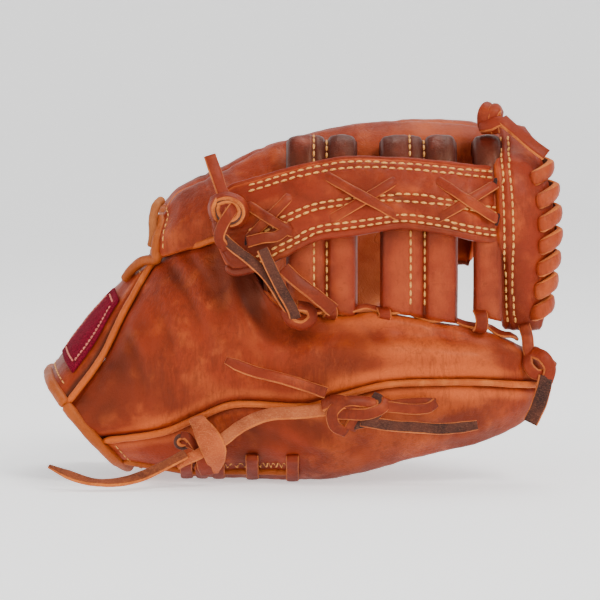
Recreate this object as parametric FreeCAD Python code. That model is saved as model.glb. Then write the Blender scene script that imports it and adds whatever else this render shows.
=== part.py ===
import FreeCAD, Part
import math
import os

# Fielder's glove for the left hand, 11.5 in infield pattern. Millimetres.
# +X runs to the fingertips, +Z up, -Y is the thumb and web side.
# The glove rests on its heel, palm down and half closed. Z = 0 is the surface it stands on.
# Every leather panel is a list of sections. A section lies in a station plane that fans out from
# the wrist (leaning back 40 degrees) to the fingertips (upright) and holds points (y, s), where s
# is the distance up the leaning plane.

V = FreeCAD.Vector

# The outlines below are drawn from the wrist's foot. ORIGIN is the middle of the glove's
# footprint at the surface it rests on, and every piece is written relative to it.
ORIGIN = V(2.7, -2.95, -0.715)

LEATHER = 3.0          # shell leather
LINING = 1.6           # inner leather
STRAP_LEATHER = 4.0    # wrist strap, doubled
WELT_R = 1.8           # rolled welt, radius
BINDING_R = 2.6        # rolled edge binding, radius
WELT_GAP = 2.6         # bare edge left for a welt on each side
LACE_W = 6.5           # rawhide lace, width
LACE_T = 2.4           # rawhide lace, thickness
CORD_R = LACE_W / 2    # envelope of a free lace end
CLEAR = 0.4            # gap between neighbouring pieces

# Foot of each station plane: X, Z and its lean in degrees from +X.
STATIONS = [
    (-96.7, 5.5, 130), (-56, 0, 128), (-38, 0, 121), (-20, 0, 115), (-8, 0, 111), (4, 0, 107.5),
    (13, 0.3, 107.5), (22, 1.5, 107.5), (38, 6, 105), (56, 11, 100), (78, 16, 95), (99, 21, 90),
    (117, 29, 88), (130, 38, 86), (137, 47, 85),
]


# ---------------------------------------------------------------- curves and sections

def spline_at(points, t):
    """Point of the Catmull-Rom curve through points, t from 0 to 1."""
    n = len(points) - 1
    u = min(max(t, 0.0), 1.0) * n
    i = min(int(u), n - 1)
    f = u - i
    p1, p2 = points[i], points[i + 1]
    p0 = points[i - 1] if i > 0 else [2 * a - b for a, b in zip(p1, p2)]
    p3 = points[i + 2] if i + 2 <= n else [2 * b - a for a, b in zip(p1, p2)]
    return [0.5 * (2 * b + (c - a) * f + (2 * a - 5 * b + 4 * c - d) * f * f
                   + (3 * b - a - 3 * c + d) * f ** 3) for a, b, c, d in zip(p0, p1, p2, p3)]


def place(k, y, s):
    """Point (y, s) of the plane at station k, which need not be whole, in the glove's frame."""
    x, z, lean = spline_at(STATIONS, k / (len(STATIONS) - 1))
    a = math.radians(lean)
    return V(x + s * math.cos(a), y, z + s * math.sin(a))


def section(table, k):
    """The table's outline points at station k, between its own stations as well."""
    keys = sorted(table)
    i = max(n for n in range(len(keys) - 1) if keys[n] <= k or n == 0)
    f = (k - keys[i]) / (keys[i + 1] - keys[i])
    t = (i + f) / (len(keys) - 1)
    return [spline_at([table[key][n] for key in keys], t) for n in range(len(table[keys[0]]))]


def even_points(points, count, trim=(0.0, 0.0)):
    """Points evenly spaced along the curve, with trim millimetres left off each end."""
    steps = 120
    fine = [spline_at(points, i / steps) for i in range(steps + 1)]
    run = [0.0]
    for a, b in zip(fine, fine[1:]):
        run.append(run[-1] + math.dist(a, b))
    start, stop = trim[0], run[-1] - trim[1]
    out = []
    j = 0
    for i in range(count):
        want = start + (stop - start) * i / (count - 1)
        while j < steps - 1 and run[j + 1] < want:
            j += 1
        f = (want - run[j]) / max(run[j + 1] - run[j], 1e-9)
        out.append([a + (b - a) * f for a, b in zip(fine[j], fine[j + 1])])
    return out


def shifted(points, distance):
    """The open plane curve moved sideways: positive is to the left of its direction."""
    out = []
    last = len(points) - 1
    for i, (y, s) in enumerate(points):
        a, b = points[max(i - 1, 0)], points[min(i + 1, last)]
        dy, ds = b[0] - a[0], b[1] - a[1]
        size = math.hypot(dy, ds)
        out.append([y - ds / size * distance, s + dy / size * distance])
    return out


def stations_between(start, stop):
    """Start, stop and the half stations between them, with quarter stations next to the wrist rim."""
    fine = [0.25, 0.5, 0.75] + [n / 2 for n in range(2, 30)]
    inner = [k for k in fine if start + 0.2 < k < stop - 0.2]
    return [start] + inner + [stop]


def curve_edge(points):
    curve = Part.BSplineCurve()
    last = len(points) - 1
    curve.interpolate(points, Parameters=[i / last for i in range(last + 1)])
    return curve.toShape()


def panel(table, start, stop, part=slice(None), thickness=LEATHER, trim=(0.0, 0.0), count=8, sink=0.0):
    """Leather panel lofted through a table's sections from station start to stop.

    part picks the outline points it uses. sink moves the whole panel into the glove.
    """
    inward = -1 if table in OVER_THE_TOP else 1
    sections = []
    for k in stations_between(start, stop):
        outer = even_points(section(table, k)[part], count, trim)
        outer = shifted(outer, inward * sink)
        inner = shifted(outer, inward * thickness)
        sections.append(([place(k, *p) for p in outer], [place(k, *p) for p in inner]))
    return lofted(sections)


def lofted(sections):
    """Solid between the outer and inner curves of each section."""
    wires = []
    for a, inner in sections:
        b = inner[::-1]
        wires.append(Part.Wire([curve_edge(a), Part.LineSegment(a[-1], b[0]).toShape(),
                                curve_edge(b), Part.LineSegment(b[-1], a[0]).toShape()]))
    return Part.makeLoft(wires, True, False)


def rail(table, column, start, stop):
    """One outline point of a table followed from station start to stop, in the glove's frame."""
    return [place(k, *section(table, k)[column]) for k in stations_between(start, stop)]


def rod(points, radius, up=(0.1, 0.2, 1)):
    """Round bar through 3-D points, as a loft of rings that all start on the side of up."""
    rings = []
    last = len(points) - 1
    for i, p in enumerate(points):
        along = V(*points[min(i + 1, last)]) - V(*points[max(i - 1, 0)])
        side = along.cross(V(*up))
        side.normalize()
        top = side.cross(along)
        top.normalize()
        turns = [math.tau * n / 8 for n in range(8)]
        ring = Part.BSplineCurve()
        ring.interpolate([V(*p) + (side * math.sin(a) + top * math.cos(a)) * radius for a in turns],
                         PeriodicFlag=True)
        rings.append(Part.Wire([ring.toShape()]))
    return Part.makeLoft(rings, True, False)


def strip(points, facing, width, thickness, ruled=False):
    """Flat strap along 3-D points; facing is its outward direction at each point."""
    wires = []
    last = len(points) - 1
    for i, p in enumerate(points):
        along = V(*points[min(i + 1, last)]) - V(*points[max(i - 1, 0)])
        side = along.cross(V(*facing[i]))
        side.normalize()
        out = side.cross(along)
        out.normalize()
        side = side * (width / 2)
        out = out * (thickness / 2)
        c = V(*p)
        corners = [c + side + out, c + side - out, c - side - out, c - side + out]
        wires.append(Part.makePolygon(corners + corners[:1]))
    return Part.makeLoft(wires, True, ruled)


def save(name, *solids):
    shape = solids[0] if len(solids) == 1 else Part.makeCompound(list(solids))
    for solid in shape.Solids:
        if not solid.isValid() or solid.Volume <= 0:
            print("bad solid in", name, solid.Volume)
    shape.translate(-ORIGIN)
    shape.exportStep("parts/" + name + ".step")
    BUILT[name] = shape


BUILT = {}

# ---------------------------------------------------------------- outline of the shell, by station

# Thumb side, outside: top edge, two points, welt, one point, bottom edge.
THUMB = {
    0: [(-58, 51), (-60, 44), (-60.5, 35), (-57, 23), (-43, 9), (-18, 1)],
    1: [(-47.5, 89), (-57, 76), (-63, 58), (-64, 36), (-50, 13), (-24, 1)],
    2: [(-34, 114.5), (-52, 97), (-64, 72), (-69, 42), (-56, 16), (-30, 1)],
    3: [(-22, 139), (-46, 117), (-64, 86), (-74, 49), (-62, 19), (-36, 1)],
    4: [(-38, 141), (-53, 116), (-68, 85), (-77, 49), (-66, 20), (-41, 1)],
    5: [(-46, 141), (-57, 115), (-70, 84), (-79, 47), (-69, 20), (-45, 1)],
    6: [(-55, 113), (-62, 98), (-72, 77), (-80, 46.5), (-70, 20), (-47, 1)],
    7: [(-58, 102), (-65, 90), (-74, 72), (-80.5, 46), (-71, 20), (-48, 1)],
    8: [(-61, 92), (-67, 83), (-75, 68), (-81, 47), (-72, 20), (-50, 1)],
    9: [(-62, 87), (-68, 79), (-76, 65), (-81, 46.5), (-73, 20), (-52, 1)],
    10: [(-61, 76), (-67, 69), (-74, 58), (-79, 42), (-72, 19), (-53, 1)],
    11: [(-58, 66), (-63, 61), (-70, 51), (-75, 36.5), (-69, 16), (-53, 1)],
    12: [(-54, 51), (-58, 47), (-64, 39), (-69, 27), (-64, 12), (-52, 1)],
    13: [(-50, 33), (-53, 30.5), (-57, 25), (-60, 17), (-57, 8), (-50, 1.5)],
    14: [(-47.5, 14), (-49, 13), (-51, 10.5), (-52, 8), (-51, 5), (-48, 3)],
}
# Palm side of the thumb and of the heel, from the bottom edge round the inside of the thumb.
PALM_THUMB = {
    0: [(-12, 0.4), (-6, 0), (0, 0)],
    1: [(-16, 0.2), (-8, 0), (0, 0)],
    2: [(-20, 0.2), (-10, 0), (0, 0)],
    3: [(-26, 0.5), (-15, 0.8), (-4, 1)],
    4: [(-33, 5), (-24, 10), (-12, 15)],
    5: [(-38, 14), (-33, 29), (-24, 47)],
    6: [(-40, 20), (-37, 48), (-33, 84)],
    7: [(-41, 22), (-40, 56), (-49, 93)],
    8: [(-42, 22), (-41, 52), (-53, 85)],
    9: [(-43, 21), (-42, 48), (-54, 80)],
    10: [(-44, 19), (-43, 44), (-53.5, 70)],
    11: [(-45, 16), (-44, 36), (-51, 60)],
    12: [(-45, 12), (-44, 27), (-48, 46)],
    13: [(-46, 7), (-45, 16), (-46.5, 29)],
    14: [(-46, 4), (-45.5, 8), (-46, 12.5)],
}
# Palm under the fingers, from the crotch or index edge across to the little finger edge.
PALM_FINGERS = {
    0: [(1, 0), (5, 0), (10, 0.2), (14, 0.6), (18, 1.4), (22, 2.6)],
    1: [(1, 0), (7, 0), (13, 0), (19, 0.3), (25, 1.2), (30, 3)],
    2: [(1, 0), (9, 0), (17, 0), (25, 0.2), (32, 1), (38, 2.8)],
    3: [(-3, 1), (9, 1.4), (19, 1.4), (29, 1.2), (38, 1), (46, 2.7)],
    4: [(-11, 15.5), (6, 19), (22, 17), (37, 11), (45, 5), (52, 2.3)],
    5: [(-23, 48), (2, 57), (24, 52), (42, 37), (51, 18), (57, 2.3)],
    6: [(-32.5, 86), (0, 100), (28, 94), (47, 74), (57, 40), (62, 5)],
    7: [(-36, 126), (-4, 132), (26, 128), (50, 104), (61, 64), (67, 21)],
    8: [(-34, 149), (-6, 152), (26, 148), (50, 128), (64, 90), (71, 48)],
    9: [(-33, 155), (-5, 158), (27, 154), (50, 135), (63, 106), (72, 75)],
    10: [(-32, 155), (-5, 157), (26, 152), (48, 136), (61, 112), (71, 86)],
    10.9: [(-28, 152), (-4, 153), (24, 148), (44, 136), (57, 116), (68, 98)],
}
# Little finger and heel, outside: ring groove down to the palm edge.
PINKY = {
    0: [(53, 55), (58, 48), (61, 37), (57, 24), (45, 10), (24, 2.6)],
    1: [(52, 86), (60, 72), (64, 55), (62, 36), (50, 14), (32, 3)],
    2: [(54, 102), (63, 84), (68, 63), (66, 40), (55, 15), (40, 2.8)],
    3: [(56, 126), (67, 102), (72, 76), (70, 46), (61, 18), (48, 2.7)],
    4: [(59, 151), (70, 125), (75, 90), (73, 50), (66, 20), (57, 2.6)],
    5: [(61, 156), (73, 130), (78, 95), (77, 58), (72, 26), (63, 2.6)],
    6: [(62, 158), (75, 135), (80, 102), (80, 68), (76, 34), (68, 5)],
    7: [(63, 160), (77, 138), (83, 112), (83, 82), (80, 50), (74, 21)],
    8: [(64, 160), (78, 141), (85, 120), (86, 96), (84, 70), (79, 48)],
    9: [(64, 157), (78, 140), (85, 122), (87, 105), (85, 89), (80, 75)],
    10: [(63, 150), (76, 136), (83, 121), (85, 107), (83, 95), (79, 86)],
    10.6: [(62, 143), (70, 134), (77, 122), (80, 110), (79, 101), (76, 95)],
}
INDEX = {
    3.3: [(-25, 140), (-23, 148), (-14, 155), (0, 158)],
    4: [(-37, 142), (-33, 156), (-18, 168), (1, 170)],
    5: [(-45, 142.5), (-40, 160), (-20, 175), (2, 174)],
    6: [(-42, 146), (-38, 164), (-18, 179), (2, 176)],
    7: [(-36, 150), (-34, 167), (-16, 183), (2, 178)],
    8: [(-34, 154), (-32, 172), (-15, 187), (2, 181)],
    9: [(-33, 158), (-31, 173), (-15, 187), (2, 181)],
    10: [(-32, 158), (-30, 171), (-15, 183), (1, 178)],
    11: [(-28, 155), (-26, 166), (-15, 175), (-1, 172)],
    11.5: [(-24, 151), (-22, 158), (-14, 164), (-4, 162)],
}
MIDDLE = {
    3.3: [(1, 158), (10, 161), (20, 161), (30, 157)],
    4: [(2, 170), (12, 172), (22, 171), (32, 166)],
    5: [(3, 174), (12, 178), (24, 177), (33, 170)],
    7: [(3, 178), (12, 184), (24, 183), (34, 175)],
    8: [(3, 181), (12, 187), (24, 185), (34, 175)],
    9: [(3, 181), (12, 187), (24, 185), (34, 174)],
    10: [(2, 178), (12, 184), (24, 181), (33, 171)],
    11: [(0, 172), (11, 177), (22, 175), (30, 166)],
    11.5: [(-3, 161), (8, 164), (18, 162), (25, 157)],
}
RING = {
    3.3: [(31, 156.5), (40, 152), (49, 144), (55, 134)],
    4: [(33, 165.5), (42, 164), (52, 159), (58, 152)],
    5: [(34, 169.5), (44, 170), (54, 165), (60, 157)],
    7: [(35, 174.5), (45, 176), (56, 170), (62, 161)],
    8: [(35, 174.5), (46, 177), (57, 170), (63, 161)],
    9: [(35, 173.5), (46, 175), (57, 168), (63, 158)],
    10: [(34, 170.5), (45, 170), (55, 163), (62, 151)],
    10.9: [(31, 163), (40, 162), (49, 156), (55, 147)],
}
# Wrist strap over the back of the wrist, from the thumb panel to the little finger panel.
STRAP = {
    0: [(-55, 54.5), (-40, 65), (-15, 69.5), (13, 70), (37, 66), (50, 58)],
    1: [(-44, 92), (-31, 102), (-12, 108), (12, 108), (36, 101), (49, 89)],
    2: [(-31, 117), (-21, 121), (-8, 125), (14, 125), (38, 118), (51, 105)],
    2.8: [(-22, 135), (-14, 138), (-4, 140), (16, 139), (39, 132), (53, 120)],
}



# Tables whose outline runs over the top of the hand, with the inside on its right.
OVER_THE_TOP = (PINKY, INDEX, MIDDLE, RING, STRAP)

# Web spine, a strap across the front of the web. X: outline (Y, Z) from its top edge down.
SPINE = {
    -50: [(-58, 160), (-61, 151), (-62.5, 142), (-63, 134)],
    -40: [(-61, 165), (-66, 150), (-69, 134), (-69, 119)],
    -26: [(-63, 169), (-70, 153), (-74, 136), (-74, 120)],
    -12: [(-64, 173), (-72, 158), (-76, 142), (-76, 127)],
    8: [(-65, 178), (-73, 164), (-76.5, 150), (-76, 137)],
    27: [(-65, 181), (-73, 167), (-77, 153), (-76.5, 140)],
    56: [(-65, 180), (-73, 168), (-77, 156), (-76.5, 144)],
    80: [(-65, 178), (-73, 165), (-77, 153), (-76.5, 141)],
    98: [(-65, 176), (-72, 162), (-76, 149), (-75.5, 137)],
    112: [(-64.5, 175), (-71.5, 161), (-75, 148), (-74.5, 135)],
}
SPINE_T = 5.0
# Each web band: its first and last X and the height of its lower end.
BANDS = {"web_band_1": (-7, 30, 103.5), "web_band_2": (45, 84, 101), "web_band_3": (96, 109, 96)}
BAND_T = 5.0
# A band's outer face (Y, Z) above its lower end, over the top and back to the index finger.
BAND_FACE = [(-65, 124), (-66, 142), (-64, 157), (-58, 171), (-51.5, 184), (-44.5, 190.5), (-37.5, 189)]
# Web tip piece, from its lower end up. Z: outline (X, Y) from the web side to the laced edge.
TIP = {
    86: [(118, -51), (127, -52.5), (134, -50)],
    100: [(116, -58), (127, -60), (137, -56)],
    120: [(115, -63), (128, -65), (139.5, -60)],
    140: [(114.5, -65), (128, -67), (140.5, -61)],
    160: [(114, -62), (127, -63.5), (139, -58)],
    178: [(113, -54), (124, -55), (135, -50)],
    190: [(111, -44), (121, -45), (131, -40)],
    198: [(108, -33), (117, -34), (126, -30)],
}
TIP_T = 4.0

# Free lace ends, as the corners of their routes.
CORDS = ("heel_lace_tail", "thumb_lace_tail_1", "thumb_lace_tail_2")
HEEL_TAIL = [(-63, -84, 19), (-76, -87, 12), (-90, -91, 6), (-105, -94, 3.6), (-121, -94, 5.5), (-138, -91, 13)]
THUMB_TAIL_1 = [(14, -90, 53), (0, -89, 58), (-14, -89.5, 62), (-28, -88, 65), (-41, -88.5, 71)]
THUMB_TAIL_2 = [(33, -92, 38), (48, -91, 35), (64, -88.5, 34), (80, -88, 32.5), (97, -86, 35)]

THUMB_SPLIT = (4.4, 4.7)       # stations where the wrist part ends and the thumb part starts
OUTER_SPLIT = (6.5, 6.75)     # stations where the heel part ends and the outer fingers start
OPENING = 3.5                  # station where the finger backs start, at the hand opening
ALONG_WELT = (WELT_GAP, WELT_GAP)


def main():
    os.makedirs("parts", exist_ok=True)
    thumb_side()
    palm()
    fingers()
    wrist()
    padding()
    welts()
    bindings()
    web()
    web_laces()
    heel_laces()
    thumb_laces()
    crotch_laces()
    finger_laces()
    report()


def report():
    volume = sum(shape.Volume for shape in BUILT.values())
    centre = V()
    for shape in BUILT.values():
        for solid in shape.Solids:
            centre += solid.CenterOfMass * (solid.Volume / volume)
    print(len(BUILT), "nodes, volume", round(volume / 1000), "cm3, centre", centre)
    tight = {name: shape.optimalBoundingBox(True) for name, shape in BUILT.items()}
    print("lowest", {name: round(box.ZMin, 2) for name, box in tight.items() if box.ZMin < 3})
    whole = FreeCAD.BoundBox()
    for name, box in tight.items():
        if name not in CORDS:
            whole.add(box)
    print("box without cords", whole)


def joined(*tables):
    """Tables put end to end: the outline runs through all their points, station by station."""
    return {k: [p for table in tables for p in table[k]] for k in tables[0] if all(k in t for t in tables)}


def thumb_side():
    palm_side = joined({k: THUMB[k][3:] for k in THUMB}, PALM_THUMB)
    save("thumb_base_panel", panel(THUMB, 0, THUMB_SPLIT[0], slice(0, 4), trim=ALONG_WELT))
    save("thumb_back_panel", panel(THUMB, THUMB_SPLIT[1], 13.5, slice(0, 4), trim=ALONG_WELT))
    save("palm_thumb_panel", panel(palm_side, THUMB_SPLIT[1], 13.3, trim=(WELT_GAP, 1.5), count=12))
    save("thumb_lining", panel(THUMB, 5, 12, slice(0, 4), LINING, trim=(9, 6), sink=LEATHER + CLEAR))


def palm():
    heel = joined({k: THUMB[k][3:] for k in THUMB}, PALM_THUMB, PALM_FINGERS)
    save("palm_heel_panel", panel(heel, 0, THUMB_SPLIT[0], trim=(WELT_GAP, 3.1), count=14))
    save("palm_lining", panel(heel, 0.5, 4, slice(1, -2), LINING, trim=(4, 0), count=12, sink=9.5))
    save("palm_centre_panel", panel(PALM_FINGERS, 4.65, 10.9, slice(0, 3), trim=(6, 2)))
    corner = (2, WELT_GAP)
    save("palm_corner_panel", panel(PALM_FINGERS, 4.65, OUTER_SPLIT[0], slice(2, None), trim=corner))
    save("palm_outer_panel", panel(PALM_FINGERS, OUTER_SPLIT[1], 10.6, slice(2, None), trim=corner))


def fingers():
    save("pinky_heel_panel", panel(PINKY, 0, OUTER_SPLIT[0], trim=(WELT_GAP, 5)))
    save("pinky_back_panel", panel(PINKY, OUTER_SPLIT[1], 10.6, trim=(WELT_GAP, 4.2)))
    save("ring_base_panel", panel(RING, OPENING, OUTER_SPLIT[0], trim=ALONG_WELT))
    save("ring_back_panel", panel(RING, OUTER_SPLIT[1], 10.9, trim=ALONG_WELT))
    save("middle_back_panel", panel(MIDDLE, OPENING, 11.5, trim=ALONG_WELT))
    save("index_back_panel", panel(INDEX, OPENING, 11.5, trim=(5.5, WELT_GAP)))
    for name, table, start, stop in (("index", INDEX, 6, 10.5), ("middle", MIDDLE, 6, 10.5),
                                     ("ring", RING, 7, 10.5), ("pinky", PINKY, 7, 10)):
        save(name + "_lining", panel(table, start, stop, slice(0, 4), LINING, trim=(5, 5),
                                     sink=LEATHER + CLEAR))
    finger_walls()


def finger_walls():
    """Gussets between neighbouring finger stalls, hung from the seam down to the palm leather."""
    walls = []
    for table, y in ((INDEX, 2.5), (MIDDLE, 29), (RING, 58)):
        wall = {}
        for k in (7.5, 8, 9, 10, 10.5):
            top = section(table, k)[-1][1] - LEATHER - 2.5
            floor = even_points(section(PALM_FINGERS, k), 60)
            foot = max(s for at, s in floor if abs(at - y) < 4) + LEATHER + 2
            wall[k] = [(y, top), (y, (top + foot) / 2), (y - 0.1, foot)]
        walls.append(panel(wall, 7.5, 10.5, thickness=LINING))
    save("finger_walls", walls[0], walls[1])
    save("outer_finger_wall", walls[2])


def wrist():
    save("wrist_strap", panel(STRAP, 0, 2.8, thickness=STRAP_LEATHER, trim=ALONG_WELT))
    save("label_patch", panel(STRAP, 0.4, 1.85, slice(0, 3), 1.1, trim=(7, 0), sink=-2.3))


def padding():
    thumb_pad = joined({k: THUMB[k][3:] for k in THUMB}, PALM_THUMB)
    save("thumb_heel_pad", panel(thumb_pad, 1, 3.6, slice(0, 4), 3.4, trim=(7, 7), sink=LEATHER + 2))
    save("pinky_heel_pad", panel(PINKY, 1, 3.6, slice(3, None), 4, trim=(6, 5), sink=LEATHER + 1.5))


def welts():
    save("thumb_base_welt", rod(rail(THUMB, 3, 0.2, THUMB_SPLIT[0]), WELT_R))
    save("thumb_welt", rod(rail(THUMB, 3, THUMB_SPLIT[1], 13.6), WELT_R))
    save("strap_welt", rod(even_points(rail(THUMB, 0, 0, 2.9), 8), WELT_R))
    save("index_thumb_welt", rod(rail(THUMB, 0, OPENING + 0.4, THUMB_SPLIT[0]), WELT_R))
    save("index_middle_welt", rod(rail(INDEX, 3, OPENING + 0.25, 11.2), WELT_R - 0.1))
    save("middle_ring_welt", rod(rail(MIDDLE, 3, OPENING, 11.3), WELT_R))
    save("ring_heel_welt", rod(rail(PINKY, 0, OPENING + 0.2, OUTER_SPLIT[0]), WELT_R))
    save("ring_pinky_welt", rod(rail(PINKY, 0, OUTER_SPLIT[1], 10.6), WELT_R))
    save("pinky_heel_welt", rod(rail(PINKY, 5, 0.4, OUTER_SPLIT[0]), WELT_R))
    save("pinky_welt", rod(rail(PINKY, 5, OUTER_SPLIT[1], 10.6), WELT_R))


def edge_route(tables, k, ahead, count, trim=(0, 0)):
    """Route along the leather's edge at station k, moved ahead along the glove by a distance."""
    lean = math.radians(spline_at(STATIONS, k / (len(STATIONS) - 1))[2])
    step = V(math.sin(lean), 0, -math.cos(lean)) * ahead
    outline = [p for table in tables for p in section(table, k)]
    return [place(k, *p) + step for p in even_points(outline, count, trim)]


def bindings():
    heel = joined(THUMB, PALM_THUMB, PALM_FINGERS)
    past = BINDING_R + CLEAR
    save("wrist_binding", rod(edge_route((heel,), 0, -past, 24), BINDING_R, (1, 0, 0.9)),
         rod(edge_route((PINKY,), 0, -past, 12, (0, 3.5)), BINDING_R, (1, 0, 0.9)))
    save("strap_front_binding", rod(edge_route((STRAP,), 2.8, past, 10, (6, 3)), BINDING_R, (1, 0, 0.4)))
    save("hand_opening_binding", rod(edge_route((INDEX, MIDDLE, RING), OPENING, -past, 14, (4, 2)),
                                     BINDING_R, (1, 0, 0.4)))


def spine_point(x, z, lift):
    """Point of the web spine's outer face at X and Z, moved outward by lift."""
    face = even_points(section(SPINE, x), 60)
    y = min(face, key=lambda p: abs(p[1] - z))[0]
    return V(x, y - lift, z)


def web():
    spine = []
    for x in (-50, -45, -40, -33, -26, -19, -12, -2, 8, 17, 27, 41, 56, 68, 80, 89, 98, 105, 112):
        outer = even_points(section(SPINE, x), 7)
        spine.append(([V(x, *p) for p in outer], [V(x, *p) for p in shifted(outer, SPINE_T)]))
    save("web_spine_strap", lofted(spine))
    for name, (left, right, foot) in BANDS.items():
        face = [(-60, foot), (-63.5, (foot + 124) / 2)] + BAND_FACE
        outer = even_points(face, 12)
        inner = shifted(outer, -BAND_T)
        save(name, lofted([([V(x, *p) for p in outer], [V(x, *p) for p in inner]) for x in (left, right)]))
    tip = []
    for z in (86, 93, 100, 110, 120, 130, 140, 150, 160, 169, 178, 184, 190, 198):
        outer = even_points(section(TIP, z), 6)
        tip.append(([V(x, y, z) for x, y in outer], [V(x, y, z) for x, y in shifted(outer, TIP_T)]))
    save("web_tip_piece", lofted(tip))


def web_laces():
    crosses = []
    for x, z, half in ((-19, 149, 11), (33, 160, 15), (90, 160, 13)):
        for rise, lift in ((9, 2.6), (-9, 5.6)):
            ends = [spine_point(x - half, z - rise, 2.6), spine_point(x, z, lift),
                    spine_point(x + half, z + rise, 2.6)]
            crosses.append(strip(ends, [(0, -1, 0.3)] * 3, LACE_W, 2, ruled=True))
    save("web_cross_laces", *crosses)
    whip = []
    for n in range(7):
        z = 98 + 12.5 * n
        x, y = section(TIP, z)[2]
        front = section(TIP, z - 4)[1][1] - 4.9
        back = section(TIP, z + 3)[1][1] + TIP_T + 4.2
        whip.append(rod([V(x - 9, front, z - 4), V(x - 1, section(TIP, z - 3)[2][1] - 5, z - 2),
                         V(x + 4.6, y + 1.5, z), V(x, section(TIP, z + 3)[2][1] + TIP_T + 3.8, z + 2),
                         V(x - 8, back + 0.6, z + 3)], 2.2))
    save("web_tip_lacing", *whip)
    foot = [p + V(0, 0, 0.6) for p in rail(THUMB, 0, 7.2, 12.2)]
    save("web_thumb_lacing", rod(foot, 1.3))


def cord(name, route):
    """Free lace end: straight runs joined by arcs as large as the runs allow."""
    points = [V(p) for p in route]
    edges = []
    start = points[0]
    length = 0.0
    radii = []
    for before, corner, after in zip(points, points[1:], points[2:]):
        come = (corner - before).normalize()
        go = (after - corner).normalize()
        half = come.getAngle(go) / 2
        radius = 0.45 * min((corner - before).Length, (after - corner).Length) / math.tan(half)
        back = radius * math.tan(half)
        first, last = corner - come * back, corner + go * back
        middle = corner + (go - come).normalize() * (radius / math.cos(half) - radius)
        edges += [Part.LineSegment(start, first).toShape(), Part.Arc(first, middle, last).toShape()]
        length += (first - start).Length + 2 * half * radius
        radii.append(round(radius, 1))
        start = last
    edges.append(Part.LineSegment(start, points[-1]).toShape())
    length += (points[-1] - start).Length
    ring = Part.Wire([Part.makeCircle(CORD_R, points[0], points[1] - points[0])])
    tube = Part.Wire(edges).makePipeShell([ring], True, True, 2)
    save(name, tube)
    print(name, "length", round(length, 1), "radii", radii,
          "volume over section x length", round(tube.Volume / (math.pi * CORD_R ** 2 * length), 4))


def flat(points, out=(0, -1, 0), width=LACE_W):
    """Piece of flat lace through 3-D points, its face toward out."""
    return strip(points, [out] * len(points), width, LACE_T)


def ring_lace(centre, axis, radius, thickness):
    """Lace drawn round into a ring."""
    return Part.makeTorus(radius, thickness, V(*centre), V(*axis))


def heel_laces():
    loops = []
    for n in range(8):
        k = 0.9 + 0.44 * n
        outline = even_points(section(THUMB, k)[3:], 21)
        loops.append(rod([place(k, *shifted(outline, -3.7)[i]) for i in (9, 11, 13, 15)], 2.2, (1, 0, 0)))
    save("heel_lacing", *loops)
    save("heel_wrap_lace",
         flat([(-46, -82, 37), (-51, -80.5, 28), (-56, -76, 18), (-59, -68.5, 9)], (0, -1, -0.3), 13),
         flat([(-37, -82.5, 39), (-31, -83, 41), (-24, -83.8, 44)]))
    save("heel_knot", ring_lace((-68.5, -75.5, 28), (0.3, -1, 0.2), 4.4, 2.3))
    cord("heel_lace_tail", HEEL_TAIL)


def thumb_laces():
    save("thumb_lace_knot", ring_lace((21, -88.5, 43), (0.1, -1, 0.2), 7.5, 2.8))
    cord("thumb_lace_tail_1", THUMB_TAIL_1)
    cord("thumb_lace_tail_2", THUMB_TAIL_2)
    save("thumb_lace_run", flat([(33, -86.5, 47), (45, -86.5, 50), (60, -86, 50.5), (76, -84.5, 50)]))
    save("thumb_tip_knot", ring_lace((133, -65.5, 63), (0, -1, 0), 4.5, 2.4),
         flat([(131, -68, 52), (129, -69.5, 43), (126.5, -70, 32)]),
         flat([(128, -56.5, 82), (128.5, -59, 76), (130, -62, 72)]))


def crotch_laces():
    save("crotch_ring_lace", ring_lace((-42, -75, 153), (0.15, -1, 0.2), 7, 2.5))
    save("crotch_lace_ends", flat([(-46, -66, 168), (-49, -66, 176), (-52.5, -66, 185)]),
         flat([(-36, -78, 141), (-29, -81, 127), (-17, -82, 112), (-8, -79, 104)]),
         ring_lace((1, -76, 98), (0, -1, 0.2), 5.5, 2.3),
         flat([(-7, -86, 116), (4, -86, 108), (18, -84, 98.5)]))


def finger_laces():
    save("top_lace", ring_lace((104, -46, 203.5), (0, -1, 0.4), 4.5, 2.8),
         flat([(109, -52, 201), (120, -58, 192), (133, -62, 180)], (0.1, -1, 0.6)))
    runs = []
    for table, column in ((INDEX, 2), (MIDDLE, 1), (RING, 1)):
        stop = max(table) + 0.25
        y, s = section(table, max(table))[column]
        runs.append(ring_lace(place(stop, y + 2, s - 8), (0, 1, 0), 3.4, 1.6))
    save("fingertip_lacing", *runs)


main()
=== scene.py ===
import math

import bpy
import numpy as np
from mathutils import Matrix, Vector, noise


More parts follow.
